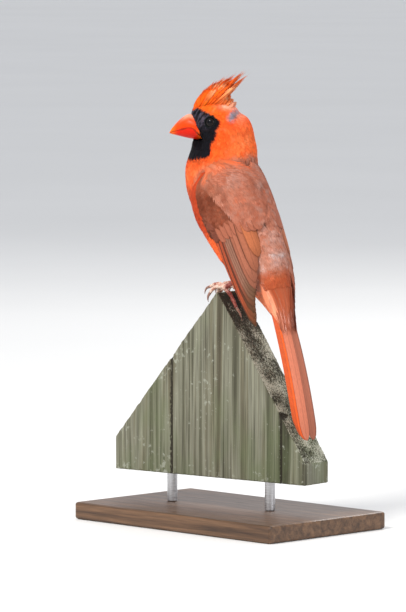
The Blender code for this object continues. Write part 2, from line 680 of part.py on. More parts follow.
def tail_feather(side, pair):
    """One tail feather. The middle pair lies on top, and each pair further out lies lower."""
    length = (TAIL_LENGTH - TAIL_SHORTER[pair]) / TAIL_LENGTH
    lift = TAIL_LIFT - TAIL_STEP * (pair + (side < 0) / 2)
    offset = side * (TAIL_FIRST_OFFSET + TAIL_OFFSET * pair)
    stations = []
    for along, full in TAIL_OUTLINE:
        share = TAIL_START_SHARE + (length - TAIL_START_SHARE) * along
        middle = offset * (TAIL_GATHER + (1 - TAIL_GATHER) * along)
        wide = TAIL_FEATHER_WIDTH * full
        edges = [tail_point(share, middle + side * wide * k / 2, lift - TAIL_TILT * k) for k in (-1, 0, 1)]
        outward = (tail_point(share, middle, lift + 1) - edges[1]).normalized()
        stations.append((*edges, outward))
    return vane_mesh("feather", stations, tail_point(length, offset, lift))


def make_tail(parts, material, body_clear):
    core = [
        [tail_point(share, wide * across, out) for across, out in TAIL_CORE_SECTION]
        for share, wide in TAIL_CORE_WIDTHS
    ]
    tail = add_object("tail", loft("tail", core), parts, material)
    pairs = [(side, pair) for pair in range(TAIL_PAIRS) for side in (1, -1)]
    feathers = [add_object("feather", tail_feather(*place), parts) for place in pairs]
    apply_boolean(tail, feathers, "UNION")
    apply_boolean(tail, [add_object("body_clear", body_clear.copy(), parts)], "DIFFERENCE")
    keep_largest(tail)


def body_surface(place, angle, past, away):
    """A point of the body's skin at an angle from its back, some way past its end, and out from it."""
    height, back, left, lean, _, width, back_depth, front_depth, _ = smooth_between(BODY_KEYS, place)
    rear = Vector((0.0, math.cos(math.radians(lean)), math.sin(math.radians(lean))))
    along = Vector((0.0, math.sin(math.radians(lean)), -math.cos(math.radians(lean))))
    depth = (back_depth if math.cos(angle) > 0 else front_depth) + away
    flat = rear * (depth * math.cos(angle)) + Vector(((width + away) * math.sin(angle), 0.0, 0.0))
    return Vector((left, back, height)) + flat + along * past


def tail_covert(root_place, end_place, angle, past, width, away):
    """A feather that grows from the rear of the body, lies along it and may reach past its end."""
    stations = []
    for along, full in COVERT_OUTLINE:
        place = root_place + (end_place - root_place) * along
        turn = width * full / (2 * smooth_between(BODY_KEYS, place)[5])
        lift = away * along - COVERT_SUNK * (1 - along)
        edges = [
            body_surface(place, angle + turn * k, past * along, lift - COVERT_DROOP * abs(k))
            for k in (-1, 0, 1)
        ]
        outward = (body_surface(place, angle, past * along, lift + 1) - edges[1]).normalized()
        stations.append((*edges, outward))
    return vane_mesh("feather", stations, body_surface(end_place, angle, past + width * COVERT_POINT, away))


def tail_coverts(draw):
    """The overlapping feathers over and under the tail's root, and the last row of the rump."""
    feathers = []
    for count, middle, spread, root, end, past, width, away in TAIL_COVERT_ROWS:
        for i in range(count):
            off = spread * (2 * i / (count - 1) - 1)
            reach = past * (1 - ROW_ROUNDING * (off / spread) ** 2) * draw.uniform(0.93, 1.05)
            lift = away + COVERT_STEP * (i % 2)
            angle = math.radians(middle + off)
            feathers.append(tail_covert(root, end, angle, reach, width, lift))
    return feathers


# Legs, feet and claws


def tube(name, points, radii, collection, resolution=2):
    """A tapering tube along points in millimetres, as a mesh with welded caps."""
    curve = bpy.data.curves.new(name, "CURVE")
    curve.dimensions = "3D"
    curve.bevel_depth = MM
    curve.bevel_resolution = resolution
    curve.use_fill_caps = True
    spline = curve.splines.new("POLY")
    spline.points.add(len(points) - 1)
    for point, place, radius in zip(spline.points, points, radii):
        point.co = (place[0] * MM, place[1] * MM, (place[2] + PERCH_TOP) * MM, 1.0)
        point.radius = radius
    guide = bpy.data.objects.new(name, curve)
    collection.objects.link(guide)
    mesh = evaluated_mesh(guide)
    bpy.data.objects.remove(guide)
    shape = bmesh.new()
    shape.from_mesh(mesh)
    bmesh.ops.remove_doubles(shape, verts=shape.verts, dist=CAP_WELD * MM)
    bmesh.ops.recalc_face_normals(shape, faces=shape.faces)
    shape.to_mesh(mesh)
    shape.free()
    return add_object(name, mesh, collection)


def toe_path(side, profile, turn):
    """Toe points from (forward, height) pairs, turned about the foot."""
    angle = math.radians(turn) * side
    return [
        picket_point(FOOT_BACK - ahead * math.cos(angle), side * FOOT_SIDE + ahead * math.sin(angle), height)
        for ahead, height in profile
    ]


def thigh_ball(name, side, parts, grow=0.0):
    centre = (THIGH_CENTRE[0] * side, *THIGH_CENTRE[1:])
    sizes = [size + grow for size in THIGH_SIZE]
    return ball(name, centre, sizes, parts, THIGH_BALL, Matrix.Rotation(math.radians(THIGH_TILT), 4, "X"))


def shank_path(side):
    """From the sole up to the ankle."""
    ankle = Vector((ANKLE[0] * side, ANKLE[1], ANKLE[2]))
    sole = picket_point(FOOT_BACK, side * FOOT_SIDE, SOLE_HEIGHT)
    return [sole, (ankle + sole) / 2 + Vector(SHANK_BEND), ankle]


def shank_sockets(side, parts):
    """The room that a shank takes up in the flesh round it."""
    shank = shank_path(side)
    socket = tube("socket", shank, (SHANK_RADIUS + SOCKET_CLEAR,) * 3, parts)
    return [socket, ball("socket_end", shank[-1], (SHANK_RADIUS + SOCKET_END_CLEAR,) * 3, parts, PAD_BALL)]


def make_leg(side, word, parts, materials):
    thigh = thigh_ball(f"thigh_{word}", side, parts)
    thigh.data.materials.append(materials["scarlet"])
    apply_boolean(thigh, shank_sockets(side, parts), "DIFFERENCE")
    keep_largest(thigh)
    shank = shank_path(side)
    flared = SHANK_RADIUS * SHANK_FLARE
    foot = tube(f"foot_{word}", shank, (flared, SHANK_RADIUS, flared), parts)
    foot.data.materials.append(materials["flesh"])
    pieces = [ball("pad", shank[0], PAD_SIZE, parts, PAD_BALL)]
    for toe, profile, claw, turn in TOES:
        path = toe_path(side, profile, turn)
        thin = [TOE_RADIUS * (TOE_ROOT - TOE_TAPER * i / (len(path) - 1)) for i in range(len(path))]
        pieces.append(tube(toe, path, thin, parts))
        make_claw(f"claw_{word}_{toe}", toe_path(side, claw, turn), parts, materials["claw"])
    apply_boolean(foot, pieces, "UNION")
    keep_largest(foot)


def make_claw(name, path, parts, material):
    """A curved claw that starts a gap past the end of its toe."""
    away = (path[1] - path[0]).normalized()
    path = [path[0] + away * CLAW_CLEAR, *path[1:]]
    claw = tube(name, path, CLAW_RADII, parts, 1)
    claw.data.materials.append(material)
    return claw


# Perch and stand


def picket_point(along, across, height):
    """A point of the turned picket: along its width, across its thickness."""
    turned = Matrix.Rotation(math.radians(PICKET_TURN), 3, "Z")
    flat = turned @ Vector((across, along, 0.0))
    return Vector((flat.x, flat.y, height))


def picket_outline():
    """The picket's face, its point rounded, in (along, height)."""
    front_run, front_drop = FRONT_SHOULDER
    rear_run, rear_drop = REAR_SHOULDER
    front = math.atan2(-front_drop, -front_run)
    rear = math.atan2(-rear_drop, rear_run)
    outline = [(front_run, -PICKET_BELOW_POINT), FRONT_SHOULDER]
    for i in range(POINT_STEPS + 1):
        angle = math.pi - front - (math.pi - front - rear) * i / POINT_STEPS
        outline.append((POINT_ROUND * math.cos(angle), POINT_ROUND * math.sin(angle) - POINT_ROUND))
    return [*outline, REAR_SHOULDER, (rear_run, -PICKET_BELOW_POINT)]


def make_perch(parts, material):
    outline = picket_outline()
    count = len(outline)
    points = [picket_point(a, side * PICKET_THICK / 2, z) for side in (-1, 1) for a, z in outline]
    faces = [tuple(range(count)), tuple(range(count, 2 * count))]
    faces += [(k, (k + 1) % count, (k + 1) % count + count, k + count) for k in range(count)]
    perch = add_object("perch_picket", mesh_from("perch_picket", points, faces), parts, material)
    bevel = perch.modifiers.new("worn_edges", "BEVEL")
    bevel.width = PICKET_EDGE * MM
    bevel.segments = 1
    bevel.limit_method = "ANGLE"
    bevel.angle_limit = math.radians(SHARP_ANGLE)


def make_stand(parts, wood, steel):
    mesh = bpy.data.meshes.new("stand_base")
    shape = bmesh.new()
    bmesh.ops.create_cube(shape, size=1.0)
    size = Matrix.Diagonal((BASE_WIDTH * MM, BASE_LENGTH * MM, BASE_THICK * MM, 1.0))
    lift = Matrix.Translation((0.0, 0.0, BASE_THICK / 2 * MM))
    bmesh.ops.transform(shape, matrix=lift @ size, verts=shape.verts)
    shape.to_mesh(mesh)
    shape.free()
    base = add_object("stand_base", mesh, parts, wood)
    bevel = base.modifiers.new("eased_edges", "BEVEL")
    bevel.width = BASE_EDGE * MM
    bevel.segments = 2
    for word, along in ROD_PLACES:
        mesh = bpy.data.meshes.new(f"stand_rod_{word}")
        shape = bmesh.new()
        bmesh.ops.create_cone(
            shape, cap_ends=True, segments=ROD_SEGMENTS, radius1=ROD_RADIUS * MM,
            radius2=ROD_RADIUS * MM, depth=(ROD_LENGTH - 2 * GAP) * MM,
        )
        place = picket_point(along, 0.0, BASE_THICK + ROD_LENGTH / 2) * MM
        bmesh.ops.transform(shape, matrix=Matrix.Translation(place), verts=shape.verts)
        shape.to_mesh(mesh)
        shape.free()
        add_object(f"stand_rod_{word}", mesh, parts, steel)


def make_materials():
    return {
        "scarlet": make_material("scarlet_feather", SCARLET, 0.8),
        "brick": make_material("brick_feather", BRICK, 0.75),
        "coral": make_material("coral_bill", CORAL, 0.35),
        "eye": make_material("dark_eye", BLACK, 0.08),
        "flesh": make_material("scaly_skin", FLESH, 0.6),
        "claw": make_material("horn_claw", HORN, 0.4),
        "wood": make_material("weathered_wood", GREY_WOOD, 0.85),
        "base": make_material("oiled_wood", DARK_WOOD, 0.5),
        "steel": make_material("brushed_steel", STEEL, 0.35, 1.0),
    }


def main():
    clear_scene()
    parts = make_collection("northern_cardinal")
    materials = make_materials()
    body = body_mesh("body")
    body_clear = body_mesh("body_clear", GAP)
    torso = slice_of(body, "torso", parts, materials["brick"], [(*NECK_BASE, -1)])
    coverts = [add_object("feather", mesh, parts) for mesh in tail_coverts(random.Random(3))]
    apply_boolean(torso, coverts, "UNION")
    hips = [thigh_ball("hip", side, parts, GAP) for side in (-1, 1)]
    sockets = [piece for side in (-1, 1) for piece in shank_sockets(side, parts)]
    apply_boolean(torso, hips + sockets, "DIFFERENCE")
    keep_largest(torso)
    slice_of(body, "neck", parts, materials["scarlet"], [(*NECK_BASE, 1), (*HEAD_BASE, -1)])
    head = slice_of(body, "head", parts, materials["scarlet"], [(*HEAD_BASE, 1)])
    lids, hollows = [], []
    for side in (-1, 1):
        centre = eye_centre(side)
        ahead, up = EYE_FACING
        outward = head_point(EYE_AT[0] + ahead, (EYE_AT[1] + 1.0) * side, EYE_AT[2] + up) - centre
        lids.append(lid_ring("lid", centre + outward.normalized() * LID_OUT, outward, parts))
        hollows.append(ball("hollow", centre, (EYE_RADIUS + GAP,) * 3, parts, EYE_BALL))
    crest = [add_object("feather", mesh, parts) for mesh in crest_feathers(random.Random(7))]
    apply_boolean(head, lids + crest, "UNION")
    hollows.append(add_object("bill_clear", bill_mesh("bill_clear", GAP), parts))
    apply_boolean(head, hollows, "DIFFERENCE")
    keep_largest(head)
    make_bill(parts, materials)
    for side, word in ((1, "left"), (-1, "right")):
        make_eye(side, f"eye_{word}", parts, materials["eye"])
        make_wing(side, word, parts, materials["brick"], body_clear)
        make_leg(side, word, parts, materials)
    make_tail(parts, materials["brick"], body_clear)
    make_perch(parts, materials["wood"])
    make_stand(parts, materials["base"], materials["steel"])


main()
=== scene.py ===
"""The looks of the northern cardinal on its picket perch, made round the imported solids.

Sizes are millimetres from the picket's point, which MM and PERCH_TOP turn into the frame's metres.
The bird faces -Y and its left side is +X. A piece's side is 1 for left and -1 for right.
"""

import math

import bpy
import numpy as np
from mathutils import Matrix, Vector
from mathutils.bvhtree import BVHTree


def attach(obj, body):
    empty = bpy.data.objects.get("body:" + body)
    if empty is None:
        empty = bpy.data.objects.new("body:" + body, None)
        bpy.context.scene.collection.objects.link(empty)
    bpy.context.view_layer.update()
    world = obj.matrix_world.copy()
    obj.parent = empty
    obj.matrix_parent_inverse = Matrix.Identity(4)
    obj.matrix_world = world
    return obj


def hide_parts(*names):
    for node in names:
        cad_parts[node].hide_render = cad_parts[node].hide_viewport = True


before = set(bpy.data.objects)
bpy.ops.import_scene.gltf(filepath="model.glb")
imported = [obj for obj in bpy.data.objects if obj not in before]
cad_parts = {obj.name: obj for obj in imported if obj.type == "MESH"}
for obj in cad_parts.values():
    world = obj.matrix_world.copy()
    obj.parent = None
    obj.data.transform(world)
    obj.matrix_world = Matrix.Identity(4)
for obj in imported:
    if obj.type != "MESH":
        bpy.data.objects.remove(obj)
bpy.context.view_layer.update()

MM = 0.001
PERCH_TOP = 136.0
SIDES = ((1, "left"), (-1, "right"))

# Body sections from the tail root up to the crown, as the solids have them
# height, back, left, lean, turn, half width, back depth, front depth, front taper
BODY_KEYS = (
    (-8.5, 41.6, 0.0, 17.0, 0.0, 8.4, 5.6, 6.1, 0.0),
    (-2.0, 38.0, 0.0, 19.0, 0.0, 10.5, 8.8, 8.9, 0.0),
    (5.0, 33.2, 0.0, 22.0, 0.0, 12.5, 13.0, 12.6, 0.0),
    (13.0, 28.0, 0.0, 25.0, 0.0, 14.7, 16.8, 17.2, 0.0),
    (24.0, 20.3, 0.0, 27.0, 0.0, 17.3, 19.6, 21.2, 0.0),
    (36.0, 11.5, 0.0, 27.5, 0.0, 19.4, 20.5, 22.9, 0.0),
    (48.0, 4.5, 0.0, 27.0, 0.0, 20.4, 21.2, 23.8, 0.0),
    (58.0, -0.3, 0.0, 24.0, 0.0, 20.4, 20.6, 25.4, 0.0),
    (66.0, -3.6, 0.0, 18.0, 3.0, 19.4, 20.0, 25.8, 0.0),
    (74.0, -5.0, 0.2, 10.0, 12.0, 17.7, 21.6, 23.8, 0.0),
    (82.0, -5.2, 0.8, 4.0, 25.0, 16.0, 21.2, 18.8, 0.05),
    (88.0, -5.5, 1.3, 0.0, 33.0, 15.0, 20.2, 16.6, 0.15),
    (94.0, -5.7, 1.5, 0.0, 35.0, 14.4, 19.2, 16.2, 0.30),
    (99.0, -5.7, 1.5, 0.0, 35.0, 13.4, 17.2, 16.8, 0.36),
    (103.5, -5.7, 1.5, 0.0, 35.0, 11.4, 14.0, 17.2, 0.42),
    (106.6, -5.7, 1.5, 0.0, 35.0, 8.6, 10.2, 15.4, 0.42),
    (108.8, -5.7, 1.5, 0.0, 35.0, 4.8, 5.4, 10.8, 0.40),
)
BODY_HEIGHTS = [key[0] for key in BODY_KEYS]
CROWN_PLACE = len(BODY_KEYS) - 1.0
CROWN_TOP, CROWN_FORWARD = 109.8, 2.6
# How far the skin lies under the coat
BODY_COAT, HEAD_COAT = 0.8, 0.4
# Voxels of the skin and the feet
SKIN_VOXEL, FOOT_VOXEL = 0.75, 0.16
# A small feather's size on the coat's map, and how many kinds there are
PATCH_SIZE, PLUME_KINDS = 0.003, 4
HEAD_CENTRE, HEAD_TURN = (1.5, -5.7, 0.0), math.radians(35.0)
EYE_AT, EYE_RADIUS = (3.3, 10.3, 98.2), 3.7
LID_RADIUS, LID_THICK, LID_OUT = 3.2, 0.52, 2.1

# Bill: forward, culmen height, gonys height, half width
BILL_KEYS = (
    (10.0, 99.6, 88.2, 6.3), (14.0, 101.6, 87.9, 6.5), (18.2, 102.5, 88.4, 5.8), (22.0, 100.6, 89.2, 4.7),
    (25.0, 98.0, 89.9, 3.6), (27.5, 95.3, 90.5, 2.3), (29.0, 93.3, 90.9, 1.2), (29.7, 92.0, 91.2, 0.4),
)
# Forward and height of the line between the bill's halves
MOUTH_LINE = (
    (8.0, 88.0), (12.0, 91.0), (13.8, 93.4), (16.0, 94.9), (18.5, 94.7),
    (22.0, 93.8), (25.5, 92.8), (28.0, 92.2), (29.4, 91.4), (31.0, 90.0),
)
NOSTRIL_AT, NOSTRIL_RADIUS = (16.6, 5.2, 99.7), 0.6
# Height and forward place of the feathers' edge beside the bill
BILL_REAR = ((85.0, 10.0), (88.0, 10.7), (93.0, 11.4), (98.6, 14.8), (102.6, 18.2), (104.0, 21.0))
# Forward and height round the black mask
MASK_EDGE = (
    (21.0, 105.2), (17.0, 104.8), (12.0, 105.8), (8.5, 104.2), (3.2, 102.4), (-1.2, 99.9), (-1.9, 97.4),
    (-0.5, 94.8), (0.1, 92.0), (1.2, 89.0), (3.2, 86.0), (2.8, 82.5), (2.4, 80.5), (5.0, 77.9), (9.5, 76.9),
    (14.0, 76.6), (24.0, 76.6),
)

# Folded wing: share of length, half width, half depth, lower edge angle, upper edge angle
WING_LENGTH, WING_LEAN = 93.5, math.radians(26.0)
WING_START = (-4.0, 66.0)
WING_KEYS = (
    (0.00, 19.6, 20.4, 14.0, 34.0), (0.03, 20.3, 21.1, 1.0, 50.0), (0.08, 20.9, 21.6, -6.0, 60.0),
    (0.20, 21.3, 22.0, -9.0, 70.0), (0.35, 20.9, 21.4, -8.0, 72.0), (0.50, 20.0, 20.2, -7.0, 66.0),
    (0.67, 19.0, 18.0, -6.0, 52.0), (0.85, 18.0, 14.5, -4.0, 29.0), (1.00, 17.4, 11.5, -1.0, 9.0),
)
# How far the right wing is drawn in towards the body, for shares of its length
RIGHT_WING_TUCK = (
    (0.0, 2.2), (0.12, 2.2), (0.30, 0.8), (0.45, -0.2), (0.62, -1.5), (0.75, -1.0), (0.88, 1.8), (1.0, 5.0),
)
# Flight feathers from the lowest up: lower edge at the root as a share of the span, length share at
# the tip, lower edge there
FLIGHT_FEATHERS = (
    (0.00, 0.905, 0.00), (0.025, 0.965, 0.00), (0.05, 1.000, 0.04), (0.08, 0.985, 0.22),
    (0.11, 0.955, 0.36), (0.14, 0.920, 0.45), (0.17, 0.885, 0.51), (0.205, 0.855, 0.56),
    (0.245, 0.832, 0.60), (0.29, 0.808, 0.63), (0.34, 0.785, 0.65), (0.41, 0.750, 0.66),
    (0.50, 0.690, 0.69), (0.62, 0.605, 0.76),
)
FLIGHT_ROOT, FLIGHT_WIDTH = 0.26, 8.0
# How many flight feathers are primaries, how many have dusky inner webs, and which have dark edge lines,
# partly the edge's own colour and partly painted shadow between the feathers
PRIMARIES, DUSKY, EDGE_AND_SHADOW_LINED = 7, 10, (10, 12)
# Flight feathers' outer webs from the lowest up, as counts and tints
FLIGHT_TINTS = (
    (2, (0.58, 0.100, 0.034)), (1, (0.15, 0.040, 0.022)), (2, (0.42, 0.078, 0.030)),
    (1, (0.13, 0.036, 0.020)), (1, (0.32, 0.085, 0.046)), (3, (0.25, 0.115, 0.075)),
    (2, (0.33, 0.110, 0.062)), (1, (0.34, 0.108, 0.056)), (1, (0.38, 0.112, 0.045)),
)
# Coverts: count, root share, tip share, first and last span share, width, lift at root and tip, web
COVERT_ROWS = (
    (6, 0.22, 0.425, 0.00, 0.13, 4.2, (1.2, 1.9), (0.17, 0.048, 0.028)),
    (8, 0.22, 0.445, 0.13, 0.84, 7.4, (1.3, 2.1), (0.32, 0.100, 0.056)),
    (3, 0.13, 0.345, 0.00, 0.07, 3.8, (1.6, 2.4), (0.19, 0.052, 0.030)),
)
# How far a vane's shaft stands up, and its half width along its length
SHAFT_RISE = 0.35
FLIGHT_OUTLINE = ((0.0, 0.5), (0.38, 1.0), (0.76, 0.93), (0.93, 0.6), (1.0, 0.12))
COVERT_OUTLINE = ((0.0, 0.55), (0.45, 1.0), (0.8, 0.92), (0.94, 0.66), (1.0, 0.22))
TAIL_OUTLINE = ((0.0, 0.86), (0.34, 0.96), (0.72, 1.0), (0.92, 0.92), (0.98, 0.6), (1.0, 0.2))

TAIL_ROOT, TAIL_TIP, TAIL_BOW = (33.5, 15.0), (64.5, -82.0), 3.0
TAIL_LENGTH, TAIL_START = 101.8, 0.16
# How much shorter each pair of tail feathers is, from the middle out
TAIL_STEPS = (0.0, 0.4, 1.0, 2.0, 3.6, 6.0)
# Share of the tail, half width and half depth of the flesh inside its root
TAIL_FLESH = ((0.02, 3.0, 1.5), (0.10, 5.0, 2.4), (0.2, 5.6, 2.2), (0.32, 5.0, 1.3), (0.42, 3.0, 0.6))
# Tail coverts: shares of the tail, half widths there, and how far each set bulges
COVERT_SHARES = (-0.02, 0.083, 0.17, 0.245, 0.32, 0.40, 0.50)
COVERT_HALVES = (14.0, 12.0, 10.0, 8.0, 6.3, 5.5, 5.0)
TAIL_COVERTS = (
    ("upper_tail_coverts", 1, 400, (0.13, 0.22), (10.5, 8.6, 6.2, 4.0, 2.3, 1.2, 0.5)),
    ("under_tail_coverts", -1, 320, (0.08, 0.24), (18.0, 10.5, 5.6, 3.6, 2.4, 1.4, 0.5)),
)

# Crest feathers from the front back: root forward, tip forward, tip height
CREST_ROWS = (
    (16.2, 10.4, 116.2), (13.8, 3.8, 121.2), (11.2, -4.2, 124.6), (8.6, -12.6, 126.6), (6.0, -14.8, 123.2),
    (3.4, -8.8, 118.2), (0.8, -6.4, 114.2), (-2.6, -8.0, 110.6), (-4.8, -10.2, 108.4),
)

CREST_COUNT, QUICK_CREST_COUNT, CREST_ABREAST = 48, 26, 9

# Stand and perch
BASE_HEIGHT, ROD_GAP, ROD_EDGE = 10.0, 0.3, 0.25
ROD_RADIUS, ROD_LENGTH, ROD_PLACES = 3.0, 17.4, {"front": -42.0, "rear": 30.0}
PICKET_THICK, PICKET_BELOW_POINT, PICKET_TURN = 23.0, 108.0, math.radians(7.0)
FRONT_SHOULDER, REAR_SHOULDER, POINT_ROUND = (-76.0, -89.0), (64.0, -96.0), 1.5
PICKET_VOXEL, QUICK_PICKET_VOXEL = 0.8, 1.3

# Feet, in the picket's frame: the toe's spots and the claw's, as ahead and height, and the toe's turn
FOOT_SIDE, FOOT_BACK = 5.0, 1.0
MIDDLE_TOE = ((-1.5, 2.4), (4.0, 4.2), (7.8, 3.7), (10.8, 2.4))
SIDE_TOE = ((-1.0, 2.3), (4.4, 2.9), (7.2, 1.5), (8.8, -0.6))
HIND_TOE = ((1.0, 2.1), (-3.0, -0.6), (-6.0, -4.9), (-8.3, -8.9))
MIDDLE_CLAW = ((10.8, 2.4), (13.2, 1.6), (14.6, -0.2), (14.9, -2.2))
SIDE_CLAW = ((8.8, -0.6), (10.0, -2.6), (10.3, -4.6), (9.9, -6.3))
HIND_CLAW = ((-8.3, -8.9), (-10.2, -11.2), (-11.7, -13.9), (-12.4, -16.4))
TOES = (
    ("middle", MIDDLE_TOE, MIDDLE_CLAW, 0.0),
    ("inner", SIDE_TOE, SIDE_CLAW, -24.0),
    ("outer", SIDE_TOE, SIDE_CLAW, 24.0),
    ("hind", HIND_TOE, HIND_CLAW, 0.0),
)
TOE_RADIUS, SHANK_RADIUS = 1.2, 1.25
ANKLE = (7.2, 13.8, 8.8)
THIGH_CENTRE, THIGH_SIZE, THIGH_TILT = (7.4, 16.8, 9.6), (3.8, 6.5, 4.0), math.radians(24.0)

# Colours, linear
CROWN = (0.88, 0.125, 0.010)
FLAME = (0.88, 0.110, 0.006)
AMBER = (0.78, 0.180, 0.045)
STRAW = (0.86, 0.420, 0.200)
NECK = (0.87, 0.100, 0.014)
# The back of the head and neck in painted shade
NAPE_IN_PAINTED_SHADE = (0.76, 0.145, 0.036)
CARMINE = (0.66, 0.062, 0.016)
APRICOT = (0.92, 0.230, 0.090)
# A painted highlight, pale pink on the back of the crown
PAINTED_HIGHLIGHT_PINK = (0.88, 0.300, 0.170)
BREAST = (0.90, 0.170, 0.045)
# The breast in painted shade, beside and over the wing's front edge
BREAST_IN_PAINTED_SHADE = (0.50, 0.056, 0.016)
# The lower breast and belly in painted shade
BELLY_IN_PAINTED_SHADE = (0.54, 0.060, 0.017)
FLANK = (0.78, 0.130, 0.035)
VENT = (0.84, 0.250, 0.120)
MANTLE = (0.400, 0.135, 0.082)
BACK = (0.470, 0.190, 0.125)
ASH = (0.400, 0.225, 0.180)
LILAC = (0.500, 0.290, 0.255)
SILVER = (0.60, 0.440, 0.400)
RUSSET = (0.330, 0.078, 0.036)
RUMP = (0.440, 0.096, 0.038)
RUMP_DARK = (0.30, 0.060, 0.030)
UMBER = (0.25, 0.070, 0.034)
WING_DARK, WING_OLIVE = (0.17, 0.050, 0.030), (0.085, 0.038, 0.015)
UNDERSIDE = (0.72, 0.360, 0.270)
TAIL_PINK = (0.64, 0.195, 0.110)
TAIL_ORANGE = (0.80, 0.120, 0.024)
# The right half of the tail in painted shade
TAIL_IN_PAINTED_SHADE = (0.38, 0.125, 0.074)
# The second colour is painted sheen: grey streaks of reflected light on the black mask
JET, PAINTED_SHEEN_GREY = (0.006, 0.0055, 0.008), (0.095, 0.078, 0.110)
SLATE = (0.17, 0.23, 0.29)
PINK_TUFT = (0.90, 0.42, 0.27)
# The second colour is the bill's lower half darkened as painted shade
BILL_RED, BILL_UNDER_IN_PAINTED_SHADE, BILL_SEAM = (0.90, 0.052, 0.002), (0.66, 0.012, 0.001), (0.22, 0.008, 0.002)
# The first colour is a painted highlight along the culmen near the base
BILL_PAINTED_HIGHLIGHT, BILL_TIP, BILL_BASE = (0.95, 0.380, 0.240), (0.88, 0.150, 0.004), (0.88, 0.150, 0.010)


# Numbers and points


def column(*values):
    return np.stack(np.broadcast_arrays(*[np.asarray(v, float) for v in values]), axis=-1)


def unit(vectors):
    return vectors / np.maximum(np.linalg.norm(vectors, axis=-1, keepdims=True), 1e-9)


def dot(a, b):
    return np.sum(a * b, axis=-1, keepdims=True)


def ease(value, low, high):
    """From 0 to 1 smoothly, as the value goes from low to high."""
    share = np.clip((np.asarray(value, float) - low) / (high - low), 0.0, 1.0)
    return share * share * (3 - 2 * share)


def hump(*offsets):
    """1 where every offset is 0, and smoothly less away from there."""
    return np.exp(-sum(offset**2 for offset in offsets))


def blend(first, second, share):
    share = share[..., None]
    return np.asarray(first, float) * (1 - share) + np.asarray(second, float) * share


def layered(tone, *layers):
    """A tone with colours laid over it, each by its share."""
    for colour, share in layers:
        tone = blend(tone, colour, share)
    return tone


def looked_up(value, keys, which=1):
    """A column of the keys at values of their first column."""
    keys = np.asarray(keys)
    return np.interp(value, keys[:, 0], keys[:, which])


def in_frame(points):
    """Metres in the frame, from millimetres about the picket's point."""
    return (np.asarray(points, float) + (0.0, 0.0, PERCH_TOP)) * MM


def between(keys, place):
    """Catmull-Rom through the keys, at places counted in keys."""
    keys = np.asarray(keys, float)
    place = np.clip(np.asarray(place, float), 0.0, len(keys) - 1.0)
    index = np.minimum(place.astype(int), len(keys) - 2)
    t = (place - index)[..., None]
    a, b = keys[np.maximum(index - 1, 0)], keys[index]
    c, d = keys[index + 1], keys[np.minimum(index + 2, len(keys) - 1)]
    return 0.5 * (2 * b + (c - a) * t + (2 * a - 5 * b + 4 * c - d) * t**2 + (3 * b - a - 3 * c + d) * t**3)


def at_share(keys, share):
    """The key columns after the first, at values of the first column."""
    keys = np.asarray(keys, float)
    share = np.clip(np.asarray(share, float), keys[0, 0], keys[-1, 0])
    index = np.clip(np.searchsorted(keys[:, 0], share, side="right") - 1, 0, len(keys) - 2)
    low, high = keys[index, 0], keys[index + 1, 0]
    return between(keys, index + (share - low) / (high - low))[..., 1:]


def speckle(points, size, seed):
    """Smooth noise from -1 to 1 with features of about that size."""
    cell = np.asarray(points, float) / size
    corner = np.floor(cell).astype(np.int64)
    part = ease(cell - corner, 0.0, 1.0)
    total = np.zeros(cell.shape[:-1])
    for step in np.ndindex(2, 2, 2):
        x, y, z = np.moveaxis(corner + step, -1, 0)
        mixed = (x * 73856093) ^ (y * 19349663) ^ (z * 83492791) ^ (seed * 2654435)
        mixed = mixed & 0x7FFFFFF
        mixed = (mixed * ((mixed * mixed % 2147483647) * 15731 % 2147483647 + 789221)) & 0x7FFFFFFF
        total += (1.0 - mixed / 1073741824.0) * np.prod(np.where(step, part, 1 - part), axis=-1)
    return total


def turned_z(flat, angle):
    x, y, z = np.moveaxis(flat, -1, 0)
    cos, sin = math.cos(angle), math.sin(angle)
    return column(x * cos - y * sin, x * sin + y * cos, z)


def head_way(forward, left, height):
    """A direction given in the turned head's frame."""
    return turned_z(column(left, -np.asarray(forward, float), height), HEAD_TURN)


def head_point(forward, left, height):
    return head_way(forward, left, height) + HEAD_CENTRE


def head_frame(points):
    """Forward, left and height of points in the head's frame."""
    flat = turned_z(np.asarray(points, float) - HEAD_CENTRE, -HEAD_TURN)
    return -flat[..., 1], flat[..., 0], flat[..., 2]


def body_frame(place):
    """Centre, rear and side directions and sizes of the body's section at a place."""
    height, back, left, lean, turn, *sizes = np.moveaxis(between(BODY_KEYS, place), -1, 0)
    lean, turn = np.radians(lean), np.radians(turn)
    rear = column(-np.sin(turn) * np.cos(lean), np.cos(turn) * np.cos(lean), np.sin(lean))
    return column(left, back, height), rear, column(np.cos(turn), np.sin(turn), 0.0), *sizes


def body_point(place, angle, grow):
    """A point of the body at an angle from its front towards its left."""
    centre, rear, side, width, rear_depth, front_depth, taper = body_frame(place)
    ahead, across = np.cos(angle), np.sin(angle)
    depth = np.where(ahead > 0, front_depth, rear_depth) + grow
    narrow = 1 - taper * np.maximum(ahead, 0.0) ** 2
    return centre - rear * (depth * ahead)[..., None] + side * ((width + grow) * across * narrow)[..., None]


def body_place(points):
    """The place and angle of points near the body, found from its sections."""
    place = np.interp(points[..., 2], BODY_HEIGHTS, np.arange(len(BODY_KEYS)))
    for _ in range(6):
        centre, rear, side, *_ = body_frame(place)
        axis = np.cross(side, rear)
        off = dot(points - centre, axis)[..., 0]
        ahead = body_frame(place + 0.1)[0] - body_frame(place - 0.1)[0]
        pitch = np.maximum(dot(ahead, axis)[..., 0] * 5.0, 2.0)
        place = np.clip(place + 0.8 * off / pitch, 0.0, CROWN_PLACE)
    centre, rear, side, *_ = body_frame(place)
    away = points - centre
    return place, np.arctan2(dot(away, side)[..., 0], -dot(away, rear)[..., 0])


